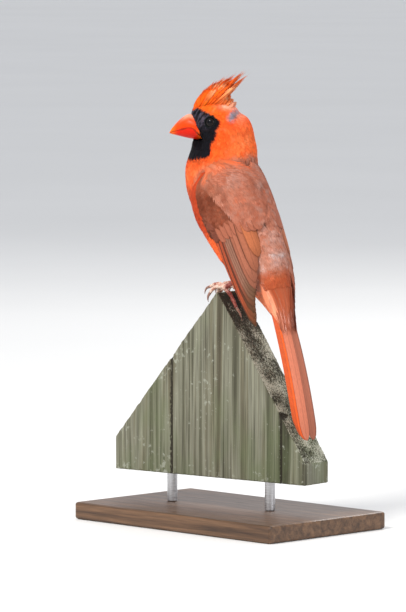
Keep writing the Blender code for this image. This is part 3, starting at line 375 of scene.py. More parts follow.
def wing_point(side, share, across, out):
    """A point of a folded wing: a share of its length, millimetres up from its lower edge, and out."""
    share, across, out = np.moveaxis(column(share, across, out), -1, 0)
    width, depth, low, _ = np.moveaxis(at_share(WING_KEYS, share), -1, 0)
    if side < 0:
        width = width - looked_up(share, RIGHT_WING_TUCK)
    angle = np.radians(low) + across / width
    run = share * WING_LENGTH
    middle = column(0.0, WING_START[0] + run * math.sin(WING_LEAN), WING_START[1] - run * math.cos(WING_LEAN))
    rear = np.array((0.0, math.cos(WING_LEAN), math.sin(WING_LEAN)))
    flat = column(side * width * np.cos(angle), 0.0, 0.0) + rear * (depth * np.sin(angle))[..., None]
    outward = column(side * np.cos(angle) / width, 0.0, 0.0) + rear * (np.sin(angle) / depth)[..., None]
    return middle + flat + unit(outward) * out[..., None]


def wing_span(share):
    width, _, low, high = np.moveaxis(at_share(WING_KEYS, share), -1, 0)
    return np.radians(high - low) * width


def tail_point(share, across, out):
    """A point of the tail: a share of its length, millimetres to the left, and out from its back."""
    share, across, out = np.moveaxis(column(share, across, out), -1, 0)
    drop = np.array((0.0, TAIL_TIP[0] - TAIL_ROOT[0], TAIL_TIP[1] - TAIL_ROOT[1]))
    normal = np.array((0.0, -drop[2], drop[1])) / np.linalg.norm(drop)
    middle = np.array((0.0, *TAIL_ROOT)) + drop * share[..., None]
    bow = TAIL_BOW * np.sin(math.pi * share)
    return middle + column(across, 0.0, 0.0) + normal * (out + bow)[..., None]


def picket_point(along, across, height):
    """A point of the turned picket: along its width, across its thickness."""
    return turned_z(column(across, along, height), PICKET_TURN)


# Shader values and finishes


class Value:
    """A shader socket that can stand in sums."""

    def __init__(self, finish, socket):
        self.finish, self.socket = finish, socket

    def sum(self, operation, first, second):
        return self.finish.node("Math", {"operation": operation}, {0: first, 1: second})

    def __add__(self, other):
        return self.sum("ADD", self, other)

    __radd__ = __add__

    def __sub__(self, other):
        return self.sum("SUBTRACT", self, other)

    def __rsub__(self, other):
        return self.sum("SUBTRACT", other, self)

    def __mul__(self, other):
        return self.sum("MULTIPLY", self, other)

    __rmul__ = __mul__


class Finish:
    """A material with one method that adds its nodes."""

    def __init__(self, name, **constants):
        self.material = bpy.data.materials.new(name)
        self.material.use_nodes = True
        self.tree = self.material.node_tree
        self.shader = self.tree.nodes["Principled BSDF"]
        for key, value in constants.items():
            self.shader.inputs[key.replace("_", " ")].default_value = value

    def node(self, kind, settings=None, inputs=None, output=None):
        made = self.tree.nodes.new("ShaderNode" + kind)
        for key, value in (settings or {}).items():
            if key == "stops":
                ramp = made.color_ramp
                while len(ramp.elements) < len(value):
                    ramp.elements.new(1.0)
                for stop, (place, colour) in zip(ramp.elements, value):
                    stop.position = place
                    stop.color = (*colour, 1.0)
            else:
                setattr(made, key, value)
        for key, value in (inputs or {}).items():
            socket = made.inputs[key] if isinstance(key, int) else next(
                s for s in made.inputs if s.name == key and s.enabled)
            if isinstance(value, Value):
                self.tree.links.new(value.socket, socket)
            else:
                socket.default_value = (*value, 1.0) if socket.type == "RGBA" and len(value) == 3 else value
        return Value(self, made.outputs[output] if output else next(s for s in made.outputs if s.enabled))

    def place(self, scale=(1.0, 1.0, 1.0), turn=(0.0, 0.0, 0.0), spot=None):
        """Object coordinates, or another spot, scaled and turned."""
        spot = spot or self.node("TexCoord", output="Object")
        return self.node("Mapping", None, {"Vector": spot, "Scale": scale, "Rotation": turn})

    def noise(self, scale, detail=3.0, roughness=0.5, distortion=0.0, turn=(0.0, 0.0, 0.0), spot=None):
        """Noise of one scale, or of one along each turned axis."""
        if np.ndim(scale):
            spot, scale = self.place(scale, turn, spot), 1.0
        return self.node("TexNoise", None, {
            "Vector": spot or self.place(), "Scale": scale, "Detail": detail, "Roughness": roughness,
            "Distortion": distortion,
        })

    def ramp(self, value, *stops):
        return self.node("ValToRGB", {"stops": stops}, {"Fac": value})

    def spread(self, value, low, high, start, end):
        """The value's low to high range as start to end."""
        return self.node("MapRange", None, {0: value, 1: low, 2: high, 3: start, 4: end})

    def mix(self, factor, first, second, way="MIX"):
        settings = {"data_type": "RGBA", "blend_type": way}
        return self.node("Mix", settings, {"Factor": factor, "A": first, "B": second})

    def shaded(self, colour, shade):
        """The colour made darker or lighter."""
        grey = self.node("CombineColor", None, {0: shade, 1: shade, 2: shade})
        return self.mix(1.0, colour, grey, "MULTIPLY")

    def attribute(self, name, output="Color"):
        return self.node("Attribute", {"attribute_name": name}, output=output)

    def dressed(self, colour, height=None, strength=0.0, depth=0.0, rough=None):
        """The material with its colour, bump and roughness linked."""
        bump = height and self.node("Bump", None, {"Height": height, "Strength": strength, "Distance": depth})
        for name, value in (("Base Color", colour), ("Normal", bump), ("Roughness", rough)):
            if value:
                self.tree.links.new(value.socket, self.shader.inputs[name])
        return self.material


def plumage_finish(name, roughness, grain):
    finish = Finish(name, Roughness=roughness, Sheen_Weight=0.02, Sheen_Roughness=0.5,
                    Specular_IOR_Level=0.06)
    fine, broad = finish.noise(2600.0, 2.0), finish.noise(420.0)
    shade = finish.spread(fine * 0.6 + broad * 0.4, 0.3, 0.7, 1.0 - grain, 1.0 + grain)
    return finish.dressed(finish.shaded(finish.attribute("plumage"), shade), fine, 0.2, 0.00015)


def vane_finish():
    """Flight and tail feathers: fine barbs slant from a dark shaft to edges darkened as painted shadow lines
    between the feathers.
    """
    finish = Finish("webbed_vane", Roughness=0.58, Specular_IOR_Level=0.14)
    spot = finish.node("UVMap", {"uv_map": "Vane"})
    parts = finish.node("SeparateXYZ", None, {"Vector": spot}, "X")
    off = finish.node("Math", {"operation": "ABSOLUTE"}, {0: parts})
    along = Value(finish, parts.socket.node.outputs["Y"])
    barbs = finish.node("Math", {"operation": "SINE"}, {0: (along - off * 0.9) * 60.0})
    clumps = finish.noise((5.0, 1.6, 1.0), 4.0, 0.6, spot=spot)
    shade = finish.spread(barbs * 0.04 + clumps, 0.25, 0.75, 0.84, 1.14)
    # The edges darken as painted shadow lines between the feathers; the dark shaft is the feather's own
    shade = shade * finish.spread(off, 0.86, 0.97, 1.0, 0.66) * finish.spread(off, 0.03, 0.09, 0.74, 1.0)
    return finish.dressed(finish.shaded(finish.attribute("plumage"), shade), barbs, 0.15, 0.00005)




# Making meshes


def choose(*pieces):
    """Selects the pieces, with the first of them active."""
    bpy.ops.object.select_all(action="DESELECT")
    for piece in pieces:
        piece.select_set(True)
    if pieces:
        bpy.context.view_layer.objects.active = pieces[0]


def apply_modifier(piece, kind, **settings):
    modifier = piece.modifiers.new(kind.lower(), kind)
    for key, value in settings.items():
        setattr(modifier, key, value)
    choose(piece)
    bpy.ops.object.modifier_apply(modifier=modifier.name)


def ball(at, radius, sizes, segments, rings, tilt=0.0):
    """A sphere drawn out to its sizes and tilted about X, its place in its mesh."""
    choose()
    place = in_frame(at)
    bpy.ops.mesh.primitive_uv_sphere_add(
        segments=segments, ring_count=rings, radius=radius * MM, location=place)
    bpy.ops.transform.resize(value=sizes)
    if tilt:
        bpy.ops.transform.rotate(value=tilt, orient_axis="X", center_override=place)
    bpy.ops.object.transform_apply(location=True, rotation=True, scale=True)
    return bpy.context.object


def grown_together(pieces, voxel, factor, times):
    """One skin over pieces that cross."""
    choose(*pieces)
    bpy.ops.object.join()
    apply_modifier(pieces[0], "REMESH", mode="VOXEL", voxel_size=voxel * MM)
    apply_modifier(pieces[0], "SMOOTH", factor=factor, iterations=times)
    pieces[0].data.shade_smooth()
    return pieces[0]


def rolled(name, rings):
    """A closed skin through rings of points: a grid's rows laid on the rings and its seam shut."""
    rings = np.asarray(rings, float)
    rows, around = rings.shape[:2]
    choose()
    bpy.ops.mesh.primitive_grid_add(x_subdivisions=around, y_subdivisions=rows - 1, size=MM)
    piece = bpy.context.object
    piece.name = piece.data.name = name
    lay_points(piece.data, np.concatenate([rings, rings[:, :1]], axis=1))
    choose(piece)
    bpy.ops.object.mode_set(mode="EDIT")
    bpy.ops.mesh.select_all(action="SELECT")
    bpy.ops.mesh.remove_doubles(threshold=1e-7)
    bpy.ops.mesh.select_all(action="DESELECT")
    bpy.ops.mesh.select_mode(type="EDGE")
    bpy.ops.mesh.select_non_manifold()
    bpy.ops.mesh.fill_holes(sides=0)
    bpy.ops.mesh.select_all(action="SELECT")
    bpy.ops.mesh.normals_make_consistent(inside=False)
    bpy.ops.object.mode_set(mode="OBJECT")
    piece.data.shade_smooth()
    return piece


def tube_rings(path, radii, around, crease=None):
    """Rings round a path. Each row of crease scales a ring's radius by the angle from its top."""
    path = np.asarray(path, float)
    ahead = unit(np.gradient(path, axis=0))
    up = np.array((0.0, 0.0, 1.0)) - ahead * ahead[:, 2:3]
    steep = np.abs(ahead[:, 2:3]) > 0.96
    up = unit(np.where(steep, np.array((0.0, -1.0, 0.0)) + ahead * ahead[:, 1:2], up))
    side = np.cross(ahead, up)
    angles = np.linspace(0, 2 * math.pi, around, endpoint=False)
    reach = np.asarray(radii, float)[:, None] * (crease(angles) if crease else np.ones(around))
    tops, sides = (np.cos(angles) * reach)[..., None], (np.sin(angles) * reach)[..., None]
    return path[:, None] + up[:, None] * tops + side[:, None] * sides


def smooth_path(points, steps):
    return between(points, np.linspace(0, len(points) - 1, steps))


def mesh_points(mesh):
    """A mesh's points in millimetres about the picket's point."""
    points = np.empty(len(mesh.vertices) * 3)
    mesh.vertices.foreach_get("co", points)
    return points.reshape(-1, 3) / MM - (0, 0, PERCH_TOP)


def lay_points(mesh, points):
    mesh.vertices.foreach_set("co", in_frame(points).astype(np.float32).ravel())
    mesh.update()


def mark(mesh, name, values):
    """Gives each point of a mesh a number."""
    mesh.attributes.new(name, "FLOAT", "POINT").data.foreach_set("value", np.asarray(values, np.float32))


def paint(mesh, tints):
    """Gives each point of a mesh its colour."""
    colours = np.ones((len(mesh.vertices), 4), np.float32)
    colours[:, :3] = np.clip(tints, 0.0, 1.0)
    mesh.attributes.new("plumage", "FLOAT_COLOR", "POINT").data.foreach_set("color", colours.ravel())


def joined(name, points, faces, tints, map_name, places, normals=None):
    """One mesh of many like shapes: points is (shapes, points, 3), faces are one shape's triangles."""
    shapes, count = points.shape[:2]
    faces = np.asarray(faces, np.int32)
    corners = (faces[None] + (np.arange(shapes, dtype=np.int32) * count)[:, None, None]).reshape(-1)
    mesh = bpy.data.meshes.new(name)
    mesh.vertices.add(shapes * count)
    lay_points(mesh, points)
    mesh.loops.add(len(corners))
    mesh.loops.foreach_set("vertex_index", corners)
    mesh.polygons.add(len(corners) // 3)
    mesh.polygons.foreach_set("loop_start", np.arange(0, len(corners), 3, dtype=np.int32))
    mesh.update(calc_edges=True)
    mesh.shade_smooth()
    if normals is not None:
        a, b, c = (points[:, faces[:, i]] for i in range(3))
        flat = unit(np.cross(b - a, c - a) + 1e-9)[:, :, None]
        wanted = normals[:, faces]
        wanted = np.where(dot(wanted, flat) < 0.05, flat, wanted)
        mesh.normals_split_custom_set(wanted.reshape(-1, 3).tolist())
    paint(mesh, tints.reshape(-1, 3))
    layer = mesh.uv_layers.new(name=map_name)
    layer.uv.foreach_set("vector", places.reshape(-1, 2)[corners].astype(np.float32).ravel())
    piece = bpy.data.objects.new(name, mesh)
    bpy.context.scene.collection.objects.link(piece)
    return piece


def keep(piece, material, slot, *nodes):
    """The piece takes its finish, rides with the model and stands for the nodes."""
    piece.data.materials.clear()
    piece.data.materials.append(material)
    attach(piece, "root")
    if nodes:
        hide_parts(*nodes)
    return piece


# Feather shapes


def vane_shape(stations, columns, outline):
    """A closed feather's points as (along, across, up), triangles, and places across the web."""
    along = np.linspace(0.0, 1.0, stations)
    half = between(np.asarray(outline)[:, 1:], np.interp(along, [o[0] for o in outline], range(len(outline))))
    across = np.linspace(-1.0, 1.0, columns)
    top = 0.5 + SHAFT_RISE * np.maximum(0.0, 1 - np.abs(across) * (columns - 1) / 2.0)
    rise = np.stack([top, np.full(columns, -0.5)])[:, None]
    points = column(along[:, None], across * half, rise * (1.0 - 0.6 * along[:, None])).reshape(-1, 3)
    under = stations * columns
    rows, places = range(0, under - columns, columns), range(columns - 1)
    quads = []
    for a in [row + j for row in rows for j in places]:
        b, c, d = a + 1, a + 1 + columns, a + columns
        quads += [(a, b, c, d), (under + a, under + d, under + c, under + b)]
    for a in rows:
        b, last = a + columns, columns - 1
        quads += [(a, b, under + b, under + a), (under + a + last, under + b + last, b + last, a + last)]
    for a in places:
        b, last = a + 1, under - columns
        quads += [(a, under + a, under + b, b), (b + last, under + b + last, under + a + last, a + last)]
    faces = [triangle for a, b, c, d in quads for triangle in ((a, b, c), (a, c, d))]
    return points, np.array(faces), np.tile(across, stations * 2)


def plume_shape(fingers, draw, loose):
    """A small body feather, a closed blade that ends in pointed barbs: its points, triangles and shades."""
    blade = ((0.0, 0.25), (0.28, 0.5), (0.58, 0.46), (0.8, 0.2))
    points = []
    for s, half in blade:
        points += [(s, -half, 0.0), (s, 0.0, 0.5), (s, half, 0.0), (s, 0.0, -0.5)]
    points.append((0.9, 0.0, 0.0))
    last = len(points) - 5
    faces = [(0, 1, 2), (0, 2, 3)]
    for k in range(4):
        after = (k + 1) % 4
        faces.append((last + after, last + k, last + 4))
        for ring in range(0, last, 4):
            a, b = ring + k, ring + after
            faces += [(a, b + 4, b), (a, a + 4, b + 4)]
    shades = [0.97] * len(points)
    for i in range(fingers):
        spot = (i + 0.5) / fingers * 2 - 1 + draw.uniform(-0.12, 0.12)
        start = draw.uniform(0.22, 0.5)
        end = 1.04 - 0.30 * spot**2 + draw.uniform(-0.12, 0.06)
        fan = 0.42 * spot
        tip = (0.62 * spot + draw.uniform(-0.10, 0.10)) * loose
        thick = 0.56 / fingers
        base = len(points)
        middle = (start + (end - start) * 0.55, fan + (tip - fan) * 0.45, thick * 1.05, 0.5)
        for s, w, size, up in ((start, fan, thick, 0.05), middle):
            points += [(s, w - size, up - 0.25), (s, w, up + 0.45), (s, w + size, up - 0.25)]
        points.append((end, tip, 0.5 + draw.uniform(0.0, 0.8)))
        shades += [draw.uniform(0.86, 1.10)] * 7
        faces.append((base, base + 1, base + 2))
        for a, b in ((base, base + 1), (base + 1, base + 2), (base + 2, base)):
            faces += [(a, b + 3, b), (a, a + 3, b + 3), (a + 3, base + 6, b + 3)]
    return np.array(points), np.array(faces), np.array(shades)


def bent(shape, walks, length, width, thick, lift, tip_lift, curl):
    """Places copies of a shape on walks: the spots that each passes, its headings and the way it faces."""
    spots, ahead, outward = walks
    steps = spots.shape[1] - 1
    s, w, up = (shape[None, :, i, None] for i in range(3))
    where = np.clip(shape[:, 0], 0.0, 1.0) * steps
    index = np.minimum(where.astype(int), steps - 1)
    part = (where - index)[None, :, None]

    def at(values):
        return values[:, index] * (1 - part) + values[:, index + 1] * part

    facing, forward = unit(at(outward)), unit(at(ahead))
    side = np.cross(facing, forward)
    past = np.maximum(s - 1.0, 0.0) * length[:, None, None]
    wide = w * width[:, None, None]
    rise = lift[0] + (lift[1] - lift[0]) * (1 - (1 - np.clip(s, 0, 1)) ** 2)
    rise = rise + up * thick * (1.0 - 0.45 * s) + tip_lift[:, None, None] * s**3 - wide**2 * curl
    rounded = unit(facing + 0.45 * side * w + 0.12 * forward * s)
    return at(spots) + forward * past + side * wide + facing * rise, rounded


def lay_plumes(name, walks, lengths, widths, tints, charts, finish, slot, nodes=(), lift=(0.0, 0.0),
               thick=0.09, stray=0.2, fingers=7, loose=1.0, fade=(0.78, 0.94, 1.0, 1.04), silky=True, seed=1):
    """One piece of plumes on walks over the bird, with tints and places on the chart."""
    count = len(lengths)
    draw = np.random.default_rng(seed)
    kinds = draw.integers(0, PLUME_KINDS, count)
    tips = np.abs(draw.normal(0.0, stray, count))
    mottle = draw.normal(0.0, 0.085, (count, 1)) + draw.normal(0.0, 0.10, (count, 1)) * (0.0, 0.9, 1.4)
    tints = tints * (1.0 + mottle[:, None])
    laid = []
    for kind in range(PLUME_KINDS):
        shape, faces, shades = plume_shape(fingers, np.random.default_rng(100 + kind), loose)
        some = kinds == kind
        walked = [values[some] for values in walks]
        made, rounded = bent(shape, walked, lengths[some], widths[some], thick, lift, tips[some], 0.02)
        share = np.broadcast_to(ease(shape[:, 0], 0.35, 0.95), made.shape[:2])
        tone = np.interp(shape[:, 0], (0.0, 0.4, 0.8, 1.05), fade) * shades
        colours = blend(tints[some][:, :1], tints[some][:, 1:], share) * tone[:, None]
        patch = charts[some][:, None] + column(shape[:, 1], shape[:, 0] - 0.5) * PATCH_SIZE
        laid.append((made, rounded, colours, patch))
    points, normals, colours, places = (np.concatenate(parts) for parts in zip(*laid))
    piece = joined(name, points, faces, colours, "OFBake", places, normals if silky else None)
    return keep(piece, finish, slot, *nodes)


def lay_vanes(name, vane, points, tints, finish, aspect, node):
    """One piece of larger feathers, with a map across and along each web."""
    shape, faces, spread = vane
    places = np.broadcast_to(column(spread, shape[:, 0] * aspect), (len(points), len(shape), 2))
    keep(joined(name, points, faces, tints, "Vane", places), finish, "brick_feather", node)


# Markings, the same for skin and coat


def inside_edge(x, y, edge):
    """How far points lie inside a closed line, in millimetres. Outside is negative."""
    corners = np.asarray(edge, float)
    nearest = np.full(x.shape, 1e9)
    inside = np.zeros(x.shape, bool)
    for (ax, ay), (bx, by) in zip(corners, np.roll(corners, -1, axis=0)):
        dx, dy = bx - ax, by - ay
        t = np.clip(((x - ax) * dx + (y - ay) * dy) / (dx * dx + dy * dy), 0, 1)
        nearest = np.minimum(nearest, np.hypot(x - ax - t * dx, y - ay - t * dy))
        crosses = (ay > y) != (by > y)
        inside ^= crosses & (x < ax + (y - ay) * dx / (dy if dy else 1e-9))
    return np.where(inside, nearest, -nearest)


def plumage(points):
    """The coat's colour at points of the body."""
    place, angle = body_place(points)
    forward, left, height = head_frame(points)
    around = np.abs(angle)
    broad, fine = speckle(points, 7.0, 1), speckle(points, 2.0, 2)
    streak = speckle(column(angle * 15.0, place * 1.1, 0.0), 1.0, 14)
    patch = ease(speckle(points, 5.0, 3) + 0.4 * speckle(points, 1.6, 4), 0.0, 0.5)
    edge = np.interp(around, (1.0, 1.4, 2.2, 3.1), (8.3, 8.8, 9.1, 9.3)) + 0.25 * fine
    mantle = ease(place, edge + 0.45, edge - 0.55) * ease(around, 1.0, 1.35) * ease(place, 1.5, 1.9)
    cap = ease(place, 2.78, 2.5) * ease(around, 1.75, 2.1) * ease(place, 1.1, 1.4)
    glint = hump((place - 3.32) / 0.15, (around - 3.0) / 0.22)
    glint = glint + 0.6 * hump((place - 2.86) / 0.14, (around - 2.30) / 0.10)
    ruffle = hump((forward + 8.6 + 0.4 * (height - 102.4)) / 1.9, (height - 102.4) / 2.6) * (left > 0)
    fleck = hump((forward + 9.6 + 0.6 * (height - 101.2)) / 0.7, (height - 101.2) / 1.3) * (left > 0)
    tuft = hump((forward + 5.5) / 4.0, (height - 107.4) / 1.7) * (left > -2)
    tone = layered(
        BREAST,
        # Painted shade: the lower breast and belly darker
        (BELLY_IN_PAINTED_SHADE, ease(place + 0.25 * fine, 8.8, 7.4)),
        (FLANK, ease(place, 6.2, 5.0)),
        (VENT, ease(place, 3.2, 1.8)),
        (NECK, ease(place, 8.7, 9.6)),
        (CROWN, ease(height, 95.0, 104.0) * ease(forward, -7.0, 5.0)),
        # Painted shade: the back of the head and neck darker
        (NAPE_IN_PAINTED_SHADE, ease(around, 1.7, 2.5) * ease(place, 13.5, 11.5) * 0.9),
        (CARMINE, 0.50 * ease(speckle(points, 2.8, 15), 0.1, 0.8)),
        (APRICOT, 0.40 * ease(speckle(points, 2.2, 16), 0.25, 0.8)),
        (MANTLE, mantle),
        (BACK, mantle * ease(place, 6.6, 4.6)),
        (ASH, mantle * (0.30 * patch + 0.25 * ease(streak, 0.0, 0.8))),
        (RUSSET, mantle * 0.55 * ease(-streak, 0.1, 0.8) * ease(-broad, -0.3, 0.5)),
        (LILAC, 0.5 * mantle * ease(place, 5.6, 4.4) * ease(streak + 0.6 * fine, 0.3, 0.9)),
        (SILVER, np.clip(glint + 0.3 * fine * glint, 0, 0.55)),
        (RUMP, cap),
        (RUMP_DARK, cap * 0.5 * ease(fine + streak, 0.2, 1.2)),
        (SLATE, np.clip(2.6 * ruffle - 0.2, 0, 0.95)),
        (JET, np.clip(1.3 * fleck, 0, 0.9)),
        (PINK_TUFT, np.clip(1.2 * tuft, 0, 0.85)),
        # Painted highlight: pale pink on the back of the crown
        (PAINTED_HIGHLIGHT_PINK, 0.6 * hump((forward + 12.8) / 2.6, (height - 101.5) / 3.6)),
    )
    tone = tone * (1.0 + 0.07 * fine + 0.05 * broad)[..., None]
    # Painted sheen: grey streaks of reflected light over the black mask above the lores
    sheen_streaks = speckle(column(forward * 1.3 + height * 0.7, height * 0.4 - forward * 0.3, left * 0.5), 1.0, 12)
    painted_sheen = ease(sheen_streaks, -0.4, 0.6) * ease(height, 92.0, 99.0) * ease(forward, 2.0, 6.0)
    mask = ease(inside_edge(forward, height, MASK_EDGE) + 0.6 * speckle(points, 1.1, 5), -0.4, 0.4)
    return blend(tone, blend(JET, PAINTED_SHEEN_GREY, 0.9 * painted_sheen), mask)


def bake_place(points):
    """The coat's place on an unwrap of the skin: round the body, and along it."""
    place, angle = body_place(points)
    return column(0.03 + 0.94 * (angle / (2 * math.pi) + 0.5), 0.03 + 0.90 * place / CROWN_PLACE)


# Skin


def past_bill(points):
    """How far points stand out past where the bare bill lets the face go, in millimetres."""
    forward, left, height = head_frame(points)
    rear = looked_up(height, BILL_REAR)
    culmen, gonys, half = (looked_up(forward, BILL_KEYS, which) for which in (1, 2, 3))
    half = half * np.sqrt(np.clip(1.0 - ((2.0 * height - culmen - gonys) / (culmen - gonys)) ** 2, 0.0, 1.0))
    allowed = half - 0.35 + 1.6 * np.maximum(rear - forward, 0.0)
    allowed = allowed + 1.6 * (np.maximum(88.0 - height, 0.0) + np.maximum(height - 102.4, 0.0))
    return np.where((forward > 8.5) & (height > 82.0), np.abs(left) - allowed, -9.0)


def make_skin():
    places = np.linspace(0.0, CROWN_PLACE, 65)
    angles = np.linspace(0, 2 * math.pi, 40, endpoint=False)
    depth = -np.interp(places, (0.0, 8.0, 11.0, CROWN_PLACE), (1.2, BODY_COAT, HEAD_COAT, HEAD_COAT))
    rings = [body_point(np.full(len(angles), place), angles, under) for place, under in zip(places, depth)]
    first, last = rings[0] - rings[0].mean(0), rings[-1] - rings[-1].mean(0)
    top = head_point(CROWN_FORWARD, 0.0, CROWN_TOP - HEAD_COAT)
    end = rings[0].mean(0) + (rings[0].mean(0) - rings[2].mean(0)) * 1.2
    rings = [end + first * 0.3, end + first * 0.75, *rings]
    rings += [top + last * share - (0, 0, drop) for share, drop in ((0.6, 0.28), (0.2, 0.04))]
    thighs = [ball((THIGH_CENTRE[0] * side, *THIGH_CENTRE[1:]), 1.0, THIGH_SIZE, 32, 20, THIGH_TILT)
              for side, _ in SIDES]
    skin = grown_together([rolled("bird_skin", rings), *thighs], SKIN_VOXEL, 0.5, 3)
    points = mesh_points(skin.data)
    forward, left, height = head_frame(points)
    dent = 1.5 * hump((forward + 13.5) / 4.5, (height - 105.5) / 3.6)
    points = points + dent[:, None] * head_way(1.0, 0.0, -1.0)
    forward, left, height = head_frame(points)
    out = past_bill(points)
    drawn = head_point(forward, np.sign(left) * (np.abs(left) - np.maximum(out, 0.0)), height)
    points = np.where((out > 0)[:, None], drawn, points)
    lay_points(skin.data, points)
    skin.data.shade_smooth()
    paint(skin.data, plumage(points) * 0.72)
    down = plumage_finish("down_under_the_coat", 0.8, 0.12)
    return keep(skin, down, "scarlet_feather", "torso", "neck", "head", "thigh_left", "thigh_right")


# Coat


def lie_of(points, normals):
    """The way the feathers lie at points of the skin: back from the bill, then down to the tail."""
    centres = np.array([(key[2], key[1], key[0]) for key in BODY_KEYS])
    down = -unit(np.gradient(centres, axis=0))
    down = column(*[np.interp(points[..., 2], BODY_HEIGHTS, down[:, axis]) for axis in range(3)])
    forward, _, height = head_frame(points)
    away = unit(points - head_point(17.0, 0.0, 96.5))
    face = ease(forward, -11.0, 4.0) * ease(height, 83.0, 92.0)
    rear = down + head_way(-1.0, 0.0, 0.0) * (0.9 * ease(height, 88.0, 101.0))[..., None]
    lie = blend(rear, away, face)
    return unit(lie - normals * dot(lie, normals))


def scatter(triangles, spacing, keep_share, seed):
    """Points on the skin at least a spacing apart, with their normals."""
    draw = np.random.default_rng(seed)
    a, b, c = triangles[:, 0], triangles[:, 1], triangles[:, 2]
    cross = np.cross(b - a, c - a)
    area = np.linalg.norm(cross, axis=1) / 2 * keep_share((a + b + c) / 3)
    count = int(area.sum() / spacing**2 * 3.2)
    pick = draw.choice(len(area), size=count, p=area / area.sum())
    r, s = draw.random(count), draw.random(count)
    flip = r + s > 1
    r, s = np.where(flip, 1 - r, r)[:, None], np.where(flip, 1 - s, s)[:, None]
    points = a[pick] + (b - a)[pick] * r + (c - a)[pick] * s
    cells, chosen = {}, []
    around = [(x, y, z) for x in (-1, 0, 1) for y in (-1, 0, 1) for z in (-1, 0, 1)]
    for number, (x, y, z) in enumerate(points.tolist()):
        i, j, k = int(x // spacing), int(y // spacing), int(z // spacing)
        near = (spot for di, dj, dk in around for spot in cells.get((i + di, j + dj, k + dk), ()))
        if all((x - ox) ** 2 + (y - oy) ** 2 + (z - oz) ** 2 >= spacing**2 for ox, oy, oz in near):
            cells.setdefault((i, j, k), []).append((x, y, z))
            chosen.append(number)
    return points[chosen], unit(cross[pick[chosen]])


def walk(tree, roots, normals, lengths, steps, sway):
    """Steps over the skin from each root along the lie of the coat."""

    def heading(here, normal):
        wanted = lie_of(here, normal)
        return unit(wanted * np.cos(sway)[:, None] + np.cross(normal, wanted) * np.sin(sway)[:, None])

    here, normal = roots, normals
    ahead = heading(here, normal)
    passed = [(here, ahead, normal)]
    for _ in range(steps):
        there = here + ahead * (lengths / steps)[:, None]
        found = [tree.find_nearest(point) for point in there.tolist()]
        here = np.array([tuple(f[0]) for f in found])
        normal = unit(0.5 * normal + np.array([tuple(f[1]) for f in found]))
        ahead = unit(ahead - normal * dot(ahead, normal)) + heading(here, normal)
        ahead = unit(ahead - normal * dot(ahead, normal))
        passed.append((here, ahead, normal))
    return [np.stack(parts, 1) for parts in zip(*passed)]


def near_eye(points):
    eyes = [head_point(EYE_AT[0], EYE_AT[1] * side, EYE_AT[2]) for side, _ in SIDES]
    return np.minimum(*[np.linalg.norm(points - eye, axis=-1) for eye in eyes])


def region(low, high, front=None, face=None):
    """Whether feathers grow at points: between two places of the body, on its front or its face or not."""

    def share(points):
        place, angle = body_place(points)
        forward, _, height = head_frame(points)
        horn = (forward > looked_up(height, BILL_REAR) - 0.15) & (height > 87.7) & (height < 102.9)
        kept = (place >= low) & (place < high) & ~horn & (near_eye(points) > 3.7)
        if front is not None:
            kept &= (np.cos(angle) > 0) == front
        if face is not None:
            kept &= (forward > -3.0) == face
        return kept + 1e-12

    return share


def coat(name, where, spacing, length, width, skin, finish, seed, slot="scarlet_feather", **laying):
    """A piece of the coat: small feathers scattered over part of the skin."""
    tree, triangles = skin
    draw = np.random.default_rng(seed)
    roots, normals = scatter(triangles, spacing * (1.0), where, seed)
    near_bill = ease(np.linalg.norm(roots - head_point(14.5, 0.0, 95.5), axis=-1), 7.0, 15.0)
    near_lid = ease(near_eye(roots), 3.0, 7.5)
    small = np.where(roots[:, 2] > 82.0, np.minimum(0.42 + 0.58 * near_bill, 0.45 + 0.55 * near_lid), 1.0)
    count = len(roots)
    lengths = length * draw.uniform(0.8, 1.15, count) * small
    widths = width * draw.uniform(0.85, 1.15, count) * (0.3 + 0.7 * small)
    walks = walk(tree, roots, normals, lengths, 4, draw.normal(0.0, 0.11, count))
    lay_plumes(name, walks, lengths, widths, plumage(walks[0][:, (1, 3)]), bake_place(roots), finish, slot,
               seed=seed, **laying)


def make_coat(skin, soft):
    mesh = skin.data
    mesh.calc_loop_triangles()
    points = mesh_points(mesh)
    corners = np.empty(len(mesh.loop_triangles) * 3, np.int32)
    mesh.loop_triangles.foreach_get("vertices", corners)
    triangles = corners.reshape(-1, 3)
    surface = BVHTree.FromPolygons(points.tolist(), triangles.tolist()), points[triangles]
    on = {"skin": surface, "finish": soft}
    small = {"thick": 0.05, "lift": (0.0, 0.30), "stray": 0.04, **on}
    middling = {"thick": 0.07, "lift": (0.0, 0.45), "stray": 0.05, **on}
    large = {"thick": 0.08, "lift": (0.0, 0.60), "stray": 0.06, **on}
    dull = {**large, "slot": "brick_feather"}
    cape = {**dull, "lift": (0.0, 1.3), "stray": 0.12}
    coat("face_coat", region(10.4, 17.0, face=True), 0.66, 3.0, 1.1, seed=21, **small)
    coat("nape_coat", region(10.4, 17.0, face=False), 0.82, 4.4, 1.5, seed=22, **small)
    coat("neck_coat", region(8.6, 10.4), 1.02, 5.8, 2.0, seed=23, **middling)
    coat("nape_cape", region(7.9, 9.4, front=False), 1.0, 8.6, 1.7, seed=30, **cape)
    coat("breast_coat", region(5.4, 8.6, front=True), 1.15, 7.4, 2.6, seed=24, **large)
    coat("mantle_coat", region(5.4, 8.6, front=False), 1.2, 7.6, 3.0, seed=25, **dull)
    coat("belly_coat", region(-1.0, 5.4, front=True), 1.25, 8.2, 2.8, seed=26, **large)
    coat("back_coat", region(2.55, 5.4, front=False), 1.2, 7.6, 3.2, seed=27, **dull)
    coat("rump_coat", region(1.75, 2.55, front=False), 1.0, 5.6, 2.6, seed=28, **dull)
    vent = {**middling, "slot": "brick_feather"}
    coat("vent_coat", region(0.6, 1.75, front=False), 1.4, 5.6, 2.6, seed=29, **vent)


# Wings, tail and crest


def wing_pad(side, share):
    """How far the wing's flesh stands out at shares of its length."""
    return (2.3 if side > 0 else 1.3) * np.interp(share, (0.0, 0.1, 0.27, 0.5), (0.3, 1.0, 1.0, 0.22))


